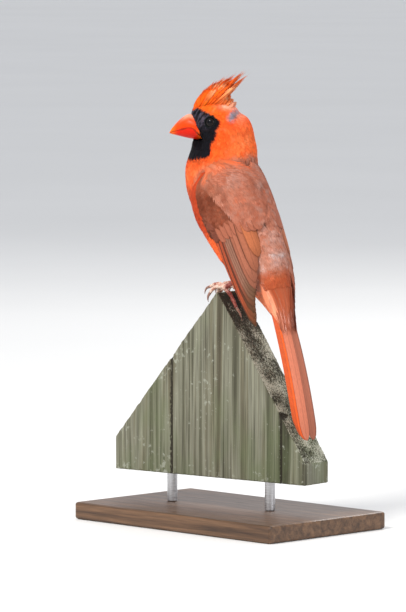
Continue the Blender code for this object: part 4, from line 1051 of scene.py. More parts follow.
def wing_walks(side, roots, tips, low, low_tips, steps, out=0.0):
    """Walks on a wing between shares of its length and millimetres over its lower edge."""
    k = np.linspace(0.0, 1.0, steps + 1)[None]
    roots, tips, low, low_tips = [np.asarray(v, float)[:, None] for v in (roots, tips, low, low_tips)]
    share = roots + (tips - roots) * k
    across = low + (low_tips - low) * k**1.4
    out = out + (wing_pad(side, share) if out else 0.0)
    spots = wing_point(side, share, across, out)
    outward = wing_point(side, share, across, out + 1.0) - spots
    return spots, unit(np.gradient(spots, axis=1)), outward


def sown(draw, count, shares, span_of, lengths, widths):
    count = int(count * (1.0))
    share = draw.uniform(*shares, count)
    span = span_of(share)
    return share, span, draw.uniform(*lengths, count), draw.uniform(*widths, count)


def wing_plumes(name, side, word, soft, places, root, tip, out=0.2, **laying):
    """Plumes on a wing, with roots at shares of its length and span, and tints at root and tip."""
    share, span, lengths, widths = places
    tips = share + lengths / WING_LENGTH
    walks = wing_walks(side, share, tips, span * wing_span(share), span * wing_span(tips), 4, out)
    chart = column(0.05 + 0.9 * (share + 0.1) / 0.6, 0.05 + 0.9 * (span + 0.3) / 1.6)
    lay_plumes(f"{name}_{word}", walks, lengths, widths, np.stack([root, tip], 1), chart, soft,
               "brick_feather", (f"wing_{word}",), **laying)


def web_tints(vane, count, edge, web, inner, tip, up):
    """Colours over feathers: an outer edge, the webs each side of the shaft, and the tip."""
    shape, _, spread = vane
    across = spread * up
    colour = layered(
        edge,
        (web, ease(across, -1.0, -0.70)),
        (inner, ease(across, 0.1, 0.6)),
        (tip, ease(shape[:, 0], 0.70, 1.0) * 0.8),
    )
    colour[len(shape) // 2:] = UNDERSIDE
    return np.broadcast_to(colour, (count, *colour.shape))


def shingled(shape, walks, lengths, widths, lift, tilt, thick=0.34):
    """Copies of a vane on walks, each tilted so that it laps over the next."""
    made, _ = bent(shape, walks, lengths, widths / 2, thick, lift, np.zeros(len(lengths)), 0.022)
    facing = unit(np.broadcast_to(walks[2].mean(1)[:, None], made.shape))
    return made - facing * (tilt * shape[None, :, 1, None])


def make_wing_flesh(side, word, soft):
    part = np.linspace(0.0, 1.0, 18)
    rings = []
    for share in np.linspace(0.0, 0.55, 30):
        swell = wing_pad(side, share) * np.sin(np.pi * (0.06 + 0.88 * part)) ** 0.5
        upper, under = (wing_point(side, share, part * wing_span(share), out) for out in (swell, 0.15))
        rings.append(np.concatenate([upper, under[::-1]]))
    flesh = rolled(f"wing_{word}_flesh", rings)
    paint(flesh.data, WING_DARK)
    keep(flesh, soft, "brick_feather", f"wing_{word}")


def make_flight_feathers(side, word, finish, draw):
    start, tip, start_tip = np.array(FLIGHT_FEATHERS).T
    count = len(tip)
    vane = vane_shape(30, 11, FLIGHT_OUTLINE)
    root = np.full(count, FLIGHT_ROOT)
    low, low_tips = start * 0.95 * wing_span(root) + 4.0, start_tip * wing_span(tip) + 4.0
    walks = wing_walks(side, root, tip, low, low_tips, 16)
    lengths, widths = (tip - root) * WING_LENGTH, np.full(count, FLIGHT_WIDTH)
    made = shingled(vane[0], walks, lengths, widths, (0.95, 1.25), 0.55 * side)
    made = made + unit(walks[2].mean(1))[:, None] * (0.05 * np.arange(count))[:, None, None]
    webs = [web for number, web in FLIGHT_TINTS for _ in range(number)]
    tints = []
    for number, web in enumerate(webs):
        web = np.array(web) * draw.normal(1.0, 0.04)
        # Dark edge lines on some feathers: partly their own colour, partly painted shadow between the
        # feathers
        edge = web * (0.35 if number in EDGE_AND_SHADOW_LINED else 1.12)
        web = web * 0.7 if number < PRIMARIES else web
        inner, end = (WING_DARK, WING_OLIVE) if number < DUSKY else (web * 0.78, web * 0.6)
        tints.append(web_tints(vane, 1, edge, web, inner, end, side))
    lay_vanes(f"wing_{word}_flight_feathers", vane, made, np.concatenate(tints), finish, 14.0, f"wing_{word}")


def make_coverts(side, word, finish, draw):
    vane = vane_shape(16, 9, COVERT_OUTLINE)
    points, tints = [], []
    for number, start, end, first, last, width, lift, web in COVERT_ROWS:
        places = np.linspace(first, last, number)
        wide = width * draw.uniform(0.95, 1.06, number)
        tips = end + draw.uniform(-0.006, 0.006, number)
        low, low_tips = (places * wing_span(share) + wide / 2 for share in (start, end))
        walks = wing_walks(side, np.full(number, start), tips, low, low_tips, 8)
        points.append(shingled(vane[0], walks, (tips - start) * WING_LENGTH, wide, lift, 0.4 * side, 0.3))
        web = np.array(web)
        tints.append(web_tints(vane, number, web * 1.10, web, web * 0.85, web * 1.04, side))
    points, tints = np.concatenate(points), np.concatenate(tints)
    lay_vanes(f"wing_{word}_coverts", vane, points, tints, finish, 6.0, f"wing_{word}")


def make_lesser_coverts(side, word, soft, draw):
    places = sown(draw, 1200, (-0.02, 0.33), lambda share: draw.uniform(-0.03, 1.0, len(share)),
                  (6.0, 7.8), (2.2, 3.0))
    share, span, *_ = places
    streak = speckle(column(span * 17.0, share * 9.0, 0.0), 1.0, 36)
    tone = layered(
        (0.30, 0.086, 0.045),
        # Painted shade: darker at the wing's lower front
        ((0.17, 0.040, 0.019), ease(span, 0.42, 0.16) * ease(share, -0.02, 0.08)),
        ((0.11, 0.030, 0.016), 0.6 * ease(-streak, 0.1, 0.8)),
        # Painted shadow: a dark line along the wing's lower edge behind the bend
        ((0.06, 0.020, 0.012), 0.85 * ease(span, 0.09, 0.0) * ease(share, 0.15, 0.24)),
    )
    tips = blend(tone, (0.40, 0.130, 0.076), 0.45 * ease(streak, 0.0, 0.8))
    wing_plumes("lesser_coverts", side, word, soft, places, tone, tips, lift=(-0.3, 0.3), stray=0.06, seed=51)


def make_shoulder_feathers(side, word, soft, draw):
    """Feathers that lap over the wing from the back."""

    def lowest_at(share):
        return np.interp(share + 0.10, (0.0, 0.10, 0.14, 0.45), (0.12, 0.26, 0.35, 0.63))

    def span_of(share):
        least = lowest_at(share)
        return least + (1.22 + 0.4 * ease(share, 0.12, 0.02) - least) * draw.random(len(share)) ** 1.15

    places = sown(draw, 800, (-0.05, 0.325), span_of, (8.0, 10.2), (3.2, 4.4))
    share, span, *_ = places
    spots = wing_point(side, share, span * wing_span(share), 2.0)
    front = ease(share, 0.20, 0.10) * ease(share, -0.04, 0.05)
    streak = speckle(column(span * 16.0, share * 10.0, 0.0), 1.0, 37)
    tone = layered(
        MANTLE,
        (BACK, 0.5 * ease(speckle(spots, 4.5, 33), -0.2, 0.6)),
        (ASH, 0.6 * ease(speckle(spots, 3.0, 34), 0.15, 0.7)),
        (RUSSET, 0.5 * ease(speckle(spots, 2.0, 35), 0.3, 0.8)),
        (plumage(spots), ease(share, 0.10, 0.02)),
        (UMBER, 0.75 * ease(span, 0.66, 0.34) * front),
        ((0.22, 0.064, 0.036), 0.6 * ease(streak, 0.15, 0.8)),
    )
    lowest = ease(span - lowest_at(share), 0.10, 0.0) * ease(share, 0.0, 0.06)
    tips = blend(tone, (0.50, 0.200, 0.135), 0.75 * lowest * ease(speckle(spots, 2.0, 38), -0.5, 0.3))
    wing_plumes("shoulder_feathers", side, word, soft, places, tone, tips, lift=(0.0, 0.7), stray=0.05,
                fingers=9, seed=52)


def make_side_feathers(side, word, soft, draw):
    """Breast feathers that lap over the wing's lower front edge and thin out down the flank."""

    def span_of(share):
        low = np.interp(share, (0.1, 0.3, 0.46), (-0.30, -0.16, -0.08))
        high = np.interp(share, (-0.03, 0.02, 0.05, 0.33, 0.46), (0.10, 0.05, -0.05, -0.05, -0.03))
        return draw.uniform(low, high)

    share, span, lengths, widths = sown(draw, 520, (-0.03, 0.46), span_of, (6.5, 8.5), (2.4, 3.2))
    widths = widths * np.interp(share, (0.3, 0.6), (1.0, 0.7))
    # Painted shade: the breast feathers over the wing's front edge are darkened
    tone = layered(BREAST, (BREAST_IN_PAINTED_SHADE, ease(share, -0.05, -0.02)), (FLANK, ease(share, 0.24, 0.34)))
    wing_plumes("side_feathers", side, word, soft, (share, span, lengths, widths), tone, tone, out=0.01,
                lift=(-0.2, 0.4), stray=0.05, seed=53)


def make_back_feathers(side, word, soft, draw):
    """Feathers of the back over the far wing's upper edge."""

    def span_of(share):
        return draw.uniform(*[np.interp(share, (0.1, 0.26), ends) for ends in ((0.94, 0.84), (1.5, 1.34))])

    places = sown(draw, 460, (-0.04, 0.74), span_of, (8.0, 10.0), (3.0, 4.0))
    share, span, *_ = places
    spots = wing_point(side, share, span * wing_span(share), 1.0)
    tone = layered(
        MANTLE,
        (BACK, ease(share, 0.2, 0.5)),
        (ASH, 0.6 * ease(speckle(spots, 3.0, 39), 0.0, 0.6)),
        (RUMP, 0.7 * ease(share, 0.60, 0.68)),
    )
    wing_plumes("back_feathers", side, word, soft, places, tone, tone, out=0.3, lift=(0.2, 0.7),
                stray=0.05, seed=54)


def make_wing(side, word, soft, webbed):
    draw = np.random.default_rng(50 + side)
    make_wing_flesh(side, word, soft)
    make_flight_feathers(side, word, webbed, draw)
    make_coverts(side, word, webbed, draw)
    make_lesser_coverts(side, word, soft, draw)
    make_shoulder_feathers(side, word, soft, draw)
    make_side_feathers(side, word, soft, draw)
    if side < 0:
        make_back_feathers(side, word, soft, draw)


def make_tail_feathers(finish, draw):
    vane = vane_shape(44, 11, TAIL_OUTLINE)
    k = np.linspace(0, 1, 21)
    points, tints = [], []
    for pair, shorter in enumerate(TAIL_STEPS):
        for side, _ in SIDES:
            run = (TAIL_LENGTH - shorter) / TAIL_LENGTH - TAIL_START
            share = TAIL_START + run * k
            middle = side * (3.0 + 0.42 * pair if pair else 2.7) * (0.78 + 0.22 * k)
            lift = 1.0 - 0.28 * (pair + (side < 0) / 2)
            spots = tail_point(share, middle, lift)[None]
            outward = tail_point(share, middle, lift + 1) - spots + (side * 0.05 * pair, 0.0, 0.0)
            walks = (spots, unit(np.gradient(spots, axis=1)), outward)
            sizes = np.array([run * TAIL_LENGTH]), np.array([4.55 if pair else 3.75])
            points.append(bent(vane[0], walks, *sizes, 0.36, (0.0, 0.0), np.zeros(1), 0.012)[0])
            # The right half's feathers get a darker tint and darker inner webs as painted shade; the tips
            # darken, partly as dusky tips and partly as painted shade
            web = TAIL_IN_PAINTED_SHADE if side < 0 else TAIL_ORANGE if pair else TAIL_PINK
            web = np.array(web) * draw.normal(1.0, 0.03)
            edge = web * (1.06 if side > 0 else 1.5 if pair in (0, 3, 5) else 0.8)
            tints.append(web_tints(vane, 1, edge, web, web * (0.40 if side < 0 else 0.94), web * 0.8, side))
    lay_vanes("tail_feathers", vane, np.concatenate(points), np.concatenate(tints), finish, 20.0, "tail")


def make_tail_coverts(soft, draw):
    """Feathers over and under the tail's root, which come off the body's end."""
    for name, face, count, start, bulges in TAIL_COVERTS:
        low, across = draw.uniform(*start, count), draw.uniform(-1, 1, count)
        lengths, widths = draw.uniform(13.0, 18.0, count), draw.uniform(2.2, 3.4, count)
        share = low[:, None] + lengths[:, None] / TAIL_LENGTH * np.linspace(0, 1, 7)[None]
        turn = across[:, None] * math.pi / 2
        half, bulge = (np.interp(share, COVERT_SHARES, sizes) for sizes in (COVERT_HALVES, bulges))
        spots, outer = (
            tail_point(share, np.sin(turn) * (half + out), face * (np.cos(turn) * (bulge + out) + 0.3))
            for out in (0.0, 1.0)
        )
        streak = ease(speckle(column(across * 9.0, low * 3.0, 0.0), 1.0, 62), 0.0, 0.7)
        if face > 0:
            pale = draw.uniform(-1.0, 1.0, count)
            tone = layered(
                (0.46, 0.125, 0.066),
                ((0.25, 0.062, 0.032), 0.8 * streak),
                ((0.74, 0.380, 0.300), 0.75 * ease(pale, 0.4, 0.9) * ease(low, 0.14, 0.18)),
                (RUMP, 0.8 * ease(low, 0.17, 0.13)),
                ((0.86, 0.330, 0.190), ease(across, 0.70, 0.85) * ease(low, 0.185, 0.155)),
                ((0.62, 0.260, 0.180), 0.7 * ease(-across, 0.84, 0.98)),
            )
        else:
            tone = blend((0.82, 0.300, 0.170), (0.74, 0.150, 0.050), ease(low + 0.04 * streak, 0.13, 0.19))
        walks = (spots, unit(np.gradient(spots, axis=1)), outer - spots)
        chart = column(0.5 + 0.4 * across, 0.1 + 0.8 * (low + 0.08) / 0.4)
        lay_plumes(name, walks, lengths, widths, np.stack([tone, tone], 1), chart, soft, "brick_feather",
                   thick=0.1, lift=(-0.3, 0.35), stray=0.1, loose=0.8, seed=63 + face)


def make_tail(soft, webbed):
    draw = np.random.default_rng(61)
    make_tail_feathers(webbed, draw)
    angles = np.linspace(0, 2 * math.pi, 20, endpoint=False)
    root = rolled("tail_root", [
        tail_point(share, np.sin(angles) * wide, np.cos(angles) * deep - 0.6)
        for share, wide, deep in TAIL_FLESH
    ])
    paint(root.data, np.array(RUMP) * 0.7)
    keep(root, soft, "brick_feather", "tail")
    make_tail_coverts(soft, draw)


def crown_at(forward, left):
    """The height of the crown at a place in the head's frame."""
    crown = np.full(np.shape(forward), 96.0)
    sections = between(BODY_KEYS, np.linspace(12.0, CROWN_PLACE, 60))
    for height, _, _, _, _, half, rear, front, taper in sections:
        depth = np.where(forward > 0, front, rear)
        reach = (forward / depth) ** 2 + (left / (half * (1 - taper * 0.5))) ** 2
        crown = np.where(reach < 1, height, crown)
    return crown


def make_crest(soft):
    draw = np.random.default_rng(71)
    rows = CREST_COUNT
    count, last = rows * CREST_ABREAST, len(CREST_ROWS) - 1.0
    along = np.repeat(np.linspace(0.0, last, rows), CREST_ABREAST) + draw.normal(0, 0.12, count)
    along = np.clip(along, 0, last)
    across = np.tile(np.linspace(-1, 1, CREST_ABREAST), rows) + draw.normal(0, 0.06, count)
    lock = np.clip(np.round(along * 1.3) / 1.3 + draw.normal(0, 0.10, count), 0, last)
    gathered = 0.75 * ease(along, 2.2, 3.4)
    tip_forward, tip_height = between(CREST_ROWS, along + (lock - along) * gathered)[:, 1:].T
    tip_forward = tip_forward - 1.2 * ease(along, 6.0, 3.0)
    root_forward = between(CREST_ROWS, along)[:, 0] - 1.0
    root_left = across * np.interp(along, (0, 2, 5, 7), (2.6, 4.4, 5.2, 5.6))
    reach = (1.03 - 0.26 * np.abs(across) ** 1.3) * draw.uniform(0.90, 1.0, count)
    roots = head_point(root_forward, root_left, crown_at(root_forward, root_left) - 1.3)
    tips = head_point(tip_forward, across * 1.4 + draw.normal(0, 0.25, count), tip_height + 0.5)
    tips = roots + (tips - roots) * reach[:, None]
    leftwards = head_way(0.0, 1.0, 0.0)
    k = np.linspace(0, 1, 7)[None, :, None]
    bow = head_way(0.2, 0.0, 0.5) + leftwards * (across * 0.9)[:, None, None]
    spots = roots[:, None] + (tips - roots)[:, None] * k + bow * 4 * k * (1 - k)
    ahead = unit(np.gradient(spots, axis=1))
    outward = leftwards * across[:, None, None] + (0.0, 0.0, 0.8)
    outward = unit(outward - ahead * dot(outward, ahead))
    tone = layered(FLAME, (AMBER, 0.85 * ease(along, 2.0, 5.5)), (PINK_TUFT, 0.7 * ease(along, 6.9, 7.5)))
    straw = blend(tone, STRAW, (draw.random(count) > 0.72) * 0.7)
    lengths, widths = np.linalg.norm(tips - roots, axis=1), draw.uniform(1.9, 2.9, count)
    chart = column(0.5 + 0.07 * across, 0.60 + 0.35 * along / last)
    lay_plumes("crest", (spots, ahead, outward), lengths, widths, np.stack([tone, straw], 1), chart, soft,
               "scarlet_feather", ("head",), thick=0.16, loose=0.7, fade=(0.8, 0.95, 1.0, 1.05),
               silky=False, seed=72)


# Bill, eyes and lids


def bill_finish():
    finish = Finish("coral_horn", Specular_IOR_Level=0.12, Coat_Weight=0.05, Coat_Roughness=0.35)
    fibres, worn = finish.noise((900.0, 900.0, 2600.0)), finish.noise(260.0, 4.0, 0.6)
    shade = finish.spread(fibres * 0.4 + worn * 0.6, 0.3, 0.75, 0.86, 1.12)
    colour = finish.shaded(finish.attribute("plumage"), shade)
    return finish.dressed(colour, fibres, 0.12, 0.0001, finish.spread(worn, 0.3, 0.7, 0.28, 0.46))


def bill_tints(points):
    forward, _, height = head_frame(points)
    mouth = looked_up(forward, MOUTH_LINE)
    ridge = ease(looked_up(forward, BILL_KEYS) - height, 3.2, 0.2) * ease(forward, 25.0, 19.0)
    return layered(
        BILL_RED,
        # Painted shade: the lower half darker
        (BILL_UNDER_IN_PAINTED_SHADE, ease(mouth - height, -0.1, 0.5)),
        # Painted highlight along the culmen near the base
        (BILL_PAINTED_HIGHLIGHT, 0.8 * ridge),
        (BILL_TIP, 0.9 * ease(forward, 24.0, 29.0)),
        (BILL_BASE, 0.8 * ease(forward, 13.6, 11.2) * ease(height, 95.0, 91.0)),
        (BILL_SEAM, 0.85 * hump((height - mouth) / 0.24)),
    )


def make_bill():
    finish = bill_finish()
    angles = np.linspace(0, 2 * math.pi, 36, endpoint=False)
    ridge = 1 - 0.16 * np.maximum(np.cos(angles), 0) ** 3
    for word, sign, narrow, limit in (("upper", 1, 1.0, np.maximum), ("lower", -1, 0.955, np.minimum)):
        rings = []
        for forward, culmen, gonys, half in between(BILL_KEYS, np.linspace(0, len(BILL_KEYS) - 1.0, 30)):
            height = (culmen + gonys) / 2 + (culmen - gonys) / 2 * np.cos(angles)
            height = limit(height, looked_up(forward, MOUTH_LINE) + sign * 0.012)
            rings.append(head_point(forward, half * np.sin(angles) * ridge * narrow, height))
        last = rings[-1]
        rings.append(last.mean(0) + (last - last.mean(0)) * 0.35 + head_way(0.25, 0.0, 0.0))
        piece = rolled(f"bill_{word}_horn", rings)
        for side, _ in SIDES if sign > 0 else ():
            spot = head_point(NOSTRIL_AT[0], NOSTRIL_AT[1] * side, NOSTRIL_AT[2])
            pit = ball(spot, NOSTRIL_RADIUS, (1.35, 1.35, 0.8), 20, 12)
            apply_modifier(piece, "BOOLEAN", operation="DIFFERENCE", object=pit, solver="EXACT")
            bpy.data.objects.remove(pit)
        piece.data.shade_smooth()
        choose(piece)
        bpy.ops.object.shade_smooth_by_angle(angle=math.radians(50))
        paint(piece.data, bill_tints(mesh_points(piece.data)))
        keep(piece, finish, "coral_bill", f"bill_{word}")


def eye_finish():
    finish = Finish("wet_eye", Roughness=0.07, Specular_IOR_Level=0.10, Coat_Weight=0.12, Coat_Roughness=0.03)
    rim = finish.attribute("polar", "Fac") + (finish.noise(2400.0, 3.0, 0.6) - 0.5) * 0.05
    return finish.dressed(finish.ramp(
        rim, (0.0, (0.002, 0.002, 0.003)), (0.40, (0.002, 0.002, 0.003)), (0.44, (0.009, 0.005, 0.003)),
        (0.62, (0.006, 0.004, 0.003)), (0.70, (0.002, 0.002, 0.003)),
    ))


def lid_finish():
    finish = Finish("lid_skin", Roughness=0.6, Specular_IOR_Level=0.05)
    grain = finish.noise(3200.0)
    colour = finish.ramp(grain, (0.3, (0.003, 0.004, 0.004)), (0.75, (0.011, 0.014, 0.014)))
    return finish.dressed(colour, grain, 0.5, 0.0002)


def set_in(piece, name, spot, turn, material, node):
    """Turns a piece made at the origin and brings it to its spot on the head."""
    piece.name = piece.data.name = name
    piece.data.transform(Matrix.Translation(in_frame(spot)) @ turn)
    piece.data.shade_smooth()
    keep(piece, material, "dark_eye", node)


def make_eyes():
    wet, skin = eye_finish(), lid_finish()
    for side, word in SIDES:
        centre = head_point(EYE_AT[0], EYE_AT[1] * side, EYE_AT[2])
        outward = unit(head_way(0.18, side, 0.1))
        turn = Vector((0, 0, 1)).rotation_difference(Vector(outward)).to_matrix().to_4x4()
        choose()
        bpy.ops.mesh.primitive_uv_sphere_add(segments=48, ring_count=40, radius=EYE_RADIUS * MM)
        eye = bpy.context.object
        spots = [vertex.co for vertex in eye.data.vertices]
        polar = [math.atan2(math.hypot(spot.x, spot.y), spot.z) for spot in spots]
        for vertex, angle in zip(eye.data.vertices, polar):
            vertex.co *= 1.0 + 0.045 * float(ease(angle, 0.75, 0.0))
        mark(eye.data, "polar", polar)
        set_in(eye, f"eyeball_{word}", centre, turn, wet, f"eye_{word}")
        choose()
        bpy.ops.mesh.primitive_torus_add(
            major_segments=56, minor_segments=16, major_radius=LID_RADIUS * MM, minor_radius=LID_THICK * MM)
        lid = bpy.context.object
        for vertex in lid.data.vertices:
            swell = 1.0 + 0.025 * math.sin(math.atan2(vertex.co.y, vertex.co.x) * 28)
            vertex.co *= Vector((swell, swell, 1.5))
        set_in(lid, f"eyelids_{word}", centre + outward * LID_OUT, turn, skin, "head")


# Feet


def leg_finish():
    finish = Finish("scaly_leg", Roughness=0.46, Specular_IOR_Level=0.4)
    scales = {"Vector": finish.place(), "Scale": 1700.0}
    edges = finish.node("TexVoronoi", {"feature": "DISTANCE_TO_EDGE"}, scales)
    groove = finish.spread(edges, 0.0, 0.16, 0.62, 1.0)
    skin = finish.ramp(finish.noise(500.0, 3.0, 0.6), (0.34, (0.34, 0.100, 0.068)),
                       (0.46, (0.58, 0.300, 0.220)), (0.58, (0.82, 0.620, 0.500)))
    colour = finish.mix(1.0, finish.shaded(skin, groove), finish.attribute("plumage"), "MULTIPLY")
    return finish.dressed(colour, groove, 0.5, 0.0002)


def claw_finish():
    finish = Finish("horn_claw", Roughness=0.3, Specular_IOR_Level=0.5, Coat_Weight=0.2, Coat_Roughness=0.25)
    streaks = finish.noise((700.0, 700.0, 1800.0))
    colour = finish.ramp(streaks, (0.3, (0.13, 0.055, 0.038)), (0.7, (0.34, 0.17, 0.12)))
    return finish.dressed(colour, streaks, 0.15, 0.0001)


def toe_points(side, profile, turn):
    angle = math.radians(turn) * side
    ahead, height = np.array(profile).T
    across = side * FOOT_SIDE + ahead * math.sin(angle)
    return picket_point(FOOT_BACK - ahead * math.cos(angle), across, height)


def scuted(name, path, low, high, plates, joints=0):
    """A toe or shank whose upper side is stepped plates over one another."""
    along = np.linspace(0, 1, plates * 4 + 1)
    base = low + (high - low) * along
    if joints:
        base = base * (1 + 0.09 * np.cos(along * joints * 2 * math.pi))
    base[0] *= 0.7
    base[-1] *= 0.72
    step = 0.06 - 0.13 * ((along * plates) % 1.0)

    def crease(angles):
        top = 0.5 + 0.5 * np.cos(angles)
        pads = 0.05 * np.cos(along * plates * math.pi)[:, None] * (1 - top)
        return 1 + 1.2 * step[:, None] * top**0.7 + pads

    return rolled(name, tube_rings(smooth_path(path, len(along)), base, 20, crease))


def make_feet():
    leg, horn = leg_finish(), claw_finish()
    nail_radii = np.interp(np.linspace(0, 1, 16), (0, 0.15, 0.5, 1), (0.8, 0.86, 0.56, 0.1))
    for side, word in SIDES:
        ankle = np.array((ANKLE[0] * side, ANKLE[1], ANKLE[2]))
        sole = picket_point(FOOT_BACK, side * FOOT_SIDE, 2.4)
        shank = [sole, (ankle + sole) / 2 + (0.0, 0.4, -0.3), ankle, ankle + (-0.8 * side, 4.6, 3.4)]
        pieces = [scuted(f"foot_{word}_skin", shank, SHANK_RADIUS * 1.1, SHANK_RADIUS, 12)]
        for toe, profile, claw, turn in TOES:
            path = toe_points(side, profile, turn)
            pieces.append(scuted("toe", path, TOE_RADIUS * 1.1, TOE_RADIUS * 0.8, 10, 3))
            path = toe_points(side, claw, turn)
            path[0] -= unit(path[1] - path[0]) * 0.2
            nail = rolled(f"claw_{word}_{toe}_horn", tube_rings(smooth_path(path, 16), nail_radii, 16))
            keep(nail, horn, "horn_claw", f"claw_{word}_{toe}")
        pieces.append(ball(sole, 1.0, (1.9, 1.95, 1.7), 24, 16))
        foot = grown_together(pieces, FOOT_VOXEL, 0.4, 1)
        rear = mesh_points(foot.data)[:, 1]
        # Painted shade: the toes towards the rear, such as the hind toe, are darkened; the front ones are
        # lightened a little
        paint(foot.data, blend((1.1, 1.1, 1.1), (0.42, 0.15, 0.14), ease(rear, 1.0, 5.0)))
        keep(foot, leg, "scaly_skin", f"foot_{word}")


# Picket and stand


def wood_finish():
    """Weathered softwood: grey and greenish growth rings, dark checks and pale lichen, pale wear, and painted
    light: a painted highlight on the front slope's edges and painted shade on the rear slope and under the
    bird.
    """
    finish = Finish("weathered_softwood", Roughness=0.85, Specular_IOR_Level=0.2)
    turned = (0.0, 0.0, -PICKET_TURN)
    rings = finish.noise((160.0, 160.0, 5.0), 2.0, 0.5, 0.3, turned)
    lines = finish.noise((900.0, 900.0, 14.0), 3.0, 0.6, turn=turned)
    fibre = finish.noise((2600.0, 2600.0, 60.0), 3.0, 0.6, turn=turned)
    moss = finish.noise((28.0, 28.0, 16.0), 4.0, 0.6, turn=turned)
    grit = finish.noise((1300.0, 1300.0, 620.0), 3.0, 0.7, turn=turned)
    lichen = finish.noise(330.0, 4.0, 0.65) * 0.55 + finish.noise(34.0) * 0.45
    band = finish.ramp(rings, (0.30, (0.050, 0.047, 0.032)), (0.43, (0.115, 0.112, 0.078)),
                       (0.52, (0.205, 0.202, 0.155)), (0.62, (0.140, 0.130, 0.090)),
                       (0.74, (0.080, 0.070, 0.048)))
    streak = finish.ramp(lines, (0.28, (0.35, 0.34, 0.32)), (0.46, (0.95, 0.95, 0.93)),
                         (0.72, (1.3, 1.3, 1.26)))
    base = finish.mix(1.0, band, streak, "MULTIPLY")
    base = finish.shaded(base, finish.spread(fibre, 0.3, 0.7, 0.82, 1.15))
    # Pale wear, with a painted highlight along the front slope's edges
    wear = finish.attribute("wear", "Fac") * 0.5 + grit
    # Dark checks, with painted shade on the rear slope and a painted shadow under the bird
    crack = finish.attribute("crack", "Fac") * 0.5 - grit
    for value, low, high, most, colour in (
        (moss, 0.50, 0.66, 0.45, (0.120, 0.150, 0.070)),
        (lichen, 0.575, 0.62, 0.75, (0.32, 0.33, 0.27)),
        (wear, 0.70, 0.86, 0.9, (0.42, 0.41, 0.33)),
        (crack, -0.26, -0.12, 0.95, (0.022, 0.018, 0.012)),
    ):
        base = finish.mix(finish.spread(value, low, high, 0.0, most), base, colour)
    return finish.dressed(base, lines * 0.7 + fibre * 0.3, 0.7, 0.0005)


def picket_outline():
    """The picket's face, its point rounded, in (along, height)."""
    front = math.atan2(-FRONT_SHOULDER[1], -FRONT_SHOULDER[0])
    rear = math.atan2(-REAR_SHOULDER[1], REAR_SHOULDER[0])
    outline = [(FRONT_SHOULDER[0], -PICKET_BELOW_POINT), FRONT_SHOULDER]
    for i in range(7):
        angle = math.pi - front - (math.pi - front - rear) * i / 6
        outline.append((POINT_ROUND * math.cos(angle), POINT_ROUND * math.sin(angle) - POINT_ROUND))
    return [*outline, REAR_SHOULDER, (REAR_SHOULDER[0], -PICKET_BELOW_POINT)]


def make_picket():
    half = PICKET_THICK / 2
    rings = [[picket_point(a, side * (half - 0.1), z) for a, z in picket_outline()] for side in (-1, 1)]
    picket = rolled("picket_wood", rings)
    voxel = PICKET_VOXEL
    apply_modifier(picket, "REMESH", mode="VOXEL", voxel_size=voxel * MM)
    mesh = picket.data
    points = mesh_points(mesh)
    normals = np.empty(points.size, np.float32)
    mesh.vertex_normals.foreach_get("vector", normals)
    normals = normals.reshape(-1, 3).astype(float)
    across, along, height = turned_z(points, -PICKET_TURN).T
    _, facing, upward = turned_z(normals, -PICKET_TURN).T
    stretched = column(across, along, height / 34.0)
    split = ease(speckle(column(across * 0.6, along, height / 55.0), 4.2, 43), 0.62, 0.86)
    sloped = ease(upward, 0.3, 0.6)
    depth = 0.16 * speckle(stretched, 3.4, 41) + 0.10 * speckle(stretched * (1, 1, 2.2), 1.6, 42)
    depth = depth - 0.75 * split + 0.10 * speckle(points, 2.2, 44) * sloped - 0.18
    depth = np.where(height < -PICKET_BELOW_POINT + 1.0, 0.0, depth)
    points = points + normals * depth[:, None]
    lay_points(mesh, points)
    mesh.shade_smooth()
    front_slope, rear_slope = (ease(sign * facing, 0.4, 0.7) * sloped for sign in (-1, 1))
    patch = speckle(points, 6.0, 46) + 0.7 * ease(height, -14.0, -40.0) - 0.45
    rim = ease(across, half - 1.6, half) * rear_slope
    wear = rear_slope * (0.42 + 0.36 * patch) + 0.4 * rim
    # Painted highlight: the front slope's side edges are lit pale
    wear = wear + 0.8 * hump((np.abs(across) - half) / 0.9) * front_slope
    wear = wear + 0.45 * front_slope * ease(speckle(points, 6.0, 45), -0.2, 0.5)
    mark(mesh, "wear", np.clip(wear, 0, 1))
    # Real splits, darkened further by painted shade over the rear slope
    dark = split + rear_slope * (0.62 - 0.30 * patch) - 0.3 * rim
    # Painted shadow of the bird: darker towards the point
    mark(mesh, "crack", np.clip(dark + 0.5 * ease(height + 0.8 * np.abs(along), -9.0, 1.0), 0, 1))
    keep(picket, wood_finish(), "weathered_wood", "perch_picket")


def walnut_finish():
    finish = Finish("oiled_walnut", Specular_IOR_Level=0.4, Coat_Weight=0.1, Coat_Roughness=0.3)
    grain = finish.noise((260.0, 9.0, 260.0), 4.0, 0.6, 0.4)
    pores = finish.noise((1800.0, 60.0, 1800.0), 2.0)
    base = finish.ramp(grain, (0.3, (0.050, 0.024, 0.012)), (0.5, (0.115, 0.058, 0.028)),
                       (0.7, (0.200, 0.105, 0.052)))
    colour = finish.shaded(base, finish.spread(pores, 0.35, 0.65, 0.75, 1.1))
    return finish.dressed(colour, pores, 0.2, 0.0002, finish.spread(pores, 0.3, 0.7, 0.5, 0.36))


def steel_finish():
    finish = Finish("brushed_steel", Metallic=1.0)
    lines = finish.noise((120.0, 120.0, 4200.0))
    colour = finish.ramp(lines, (0.3, (0.42, 0.42, 0.43)), (0.7, (0.66, 0.66, 0.67)))
    return finish.dressed(colour, lines, 0.08, 0.0001, finish.spread(lines, 0.3, 0.7, 0.24, 0.42))


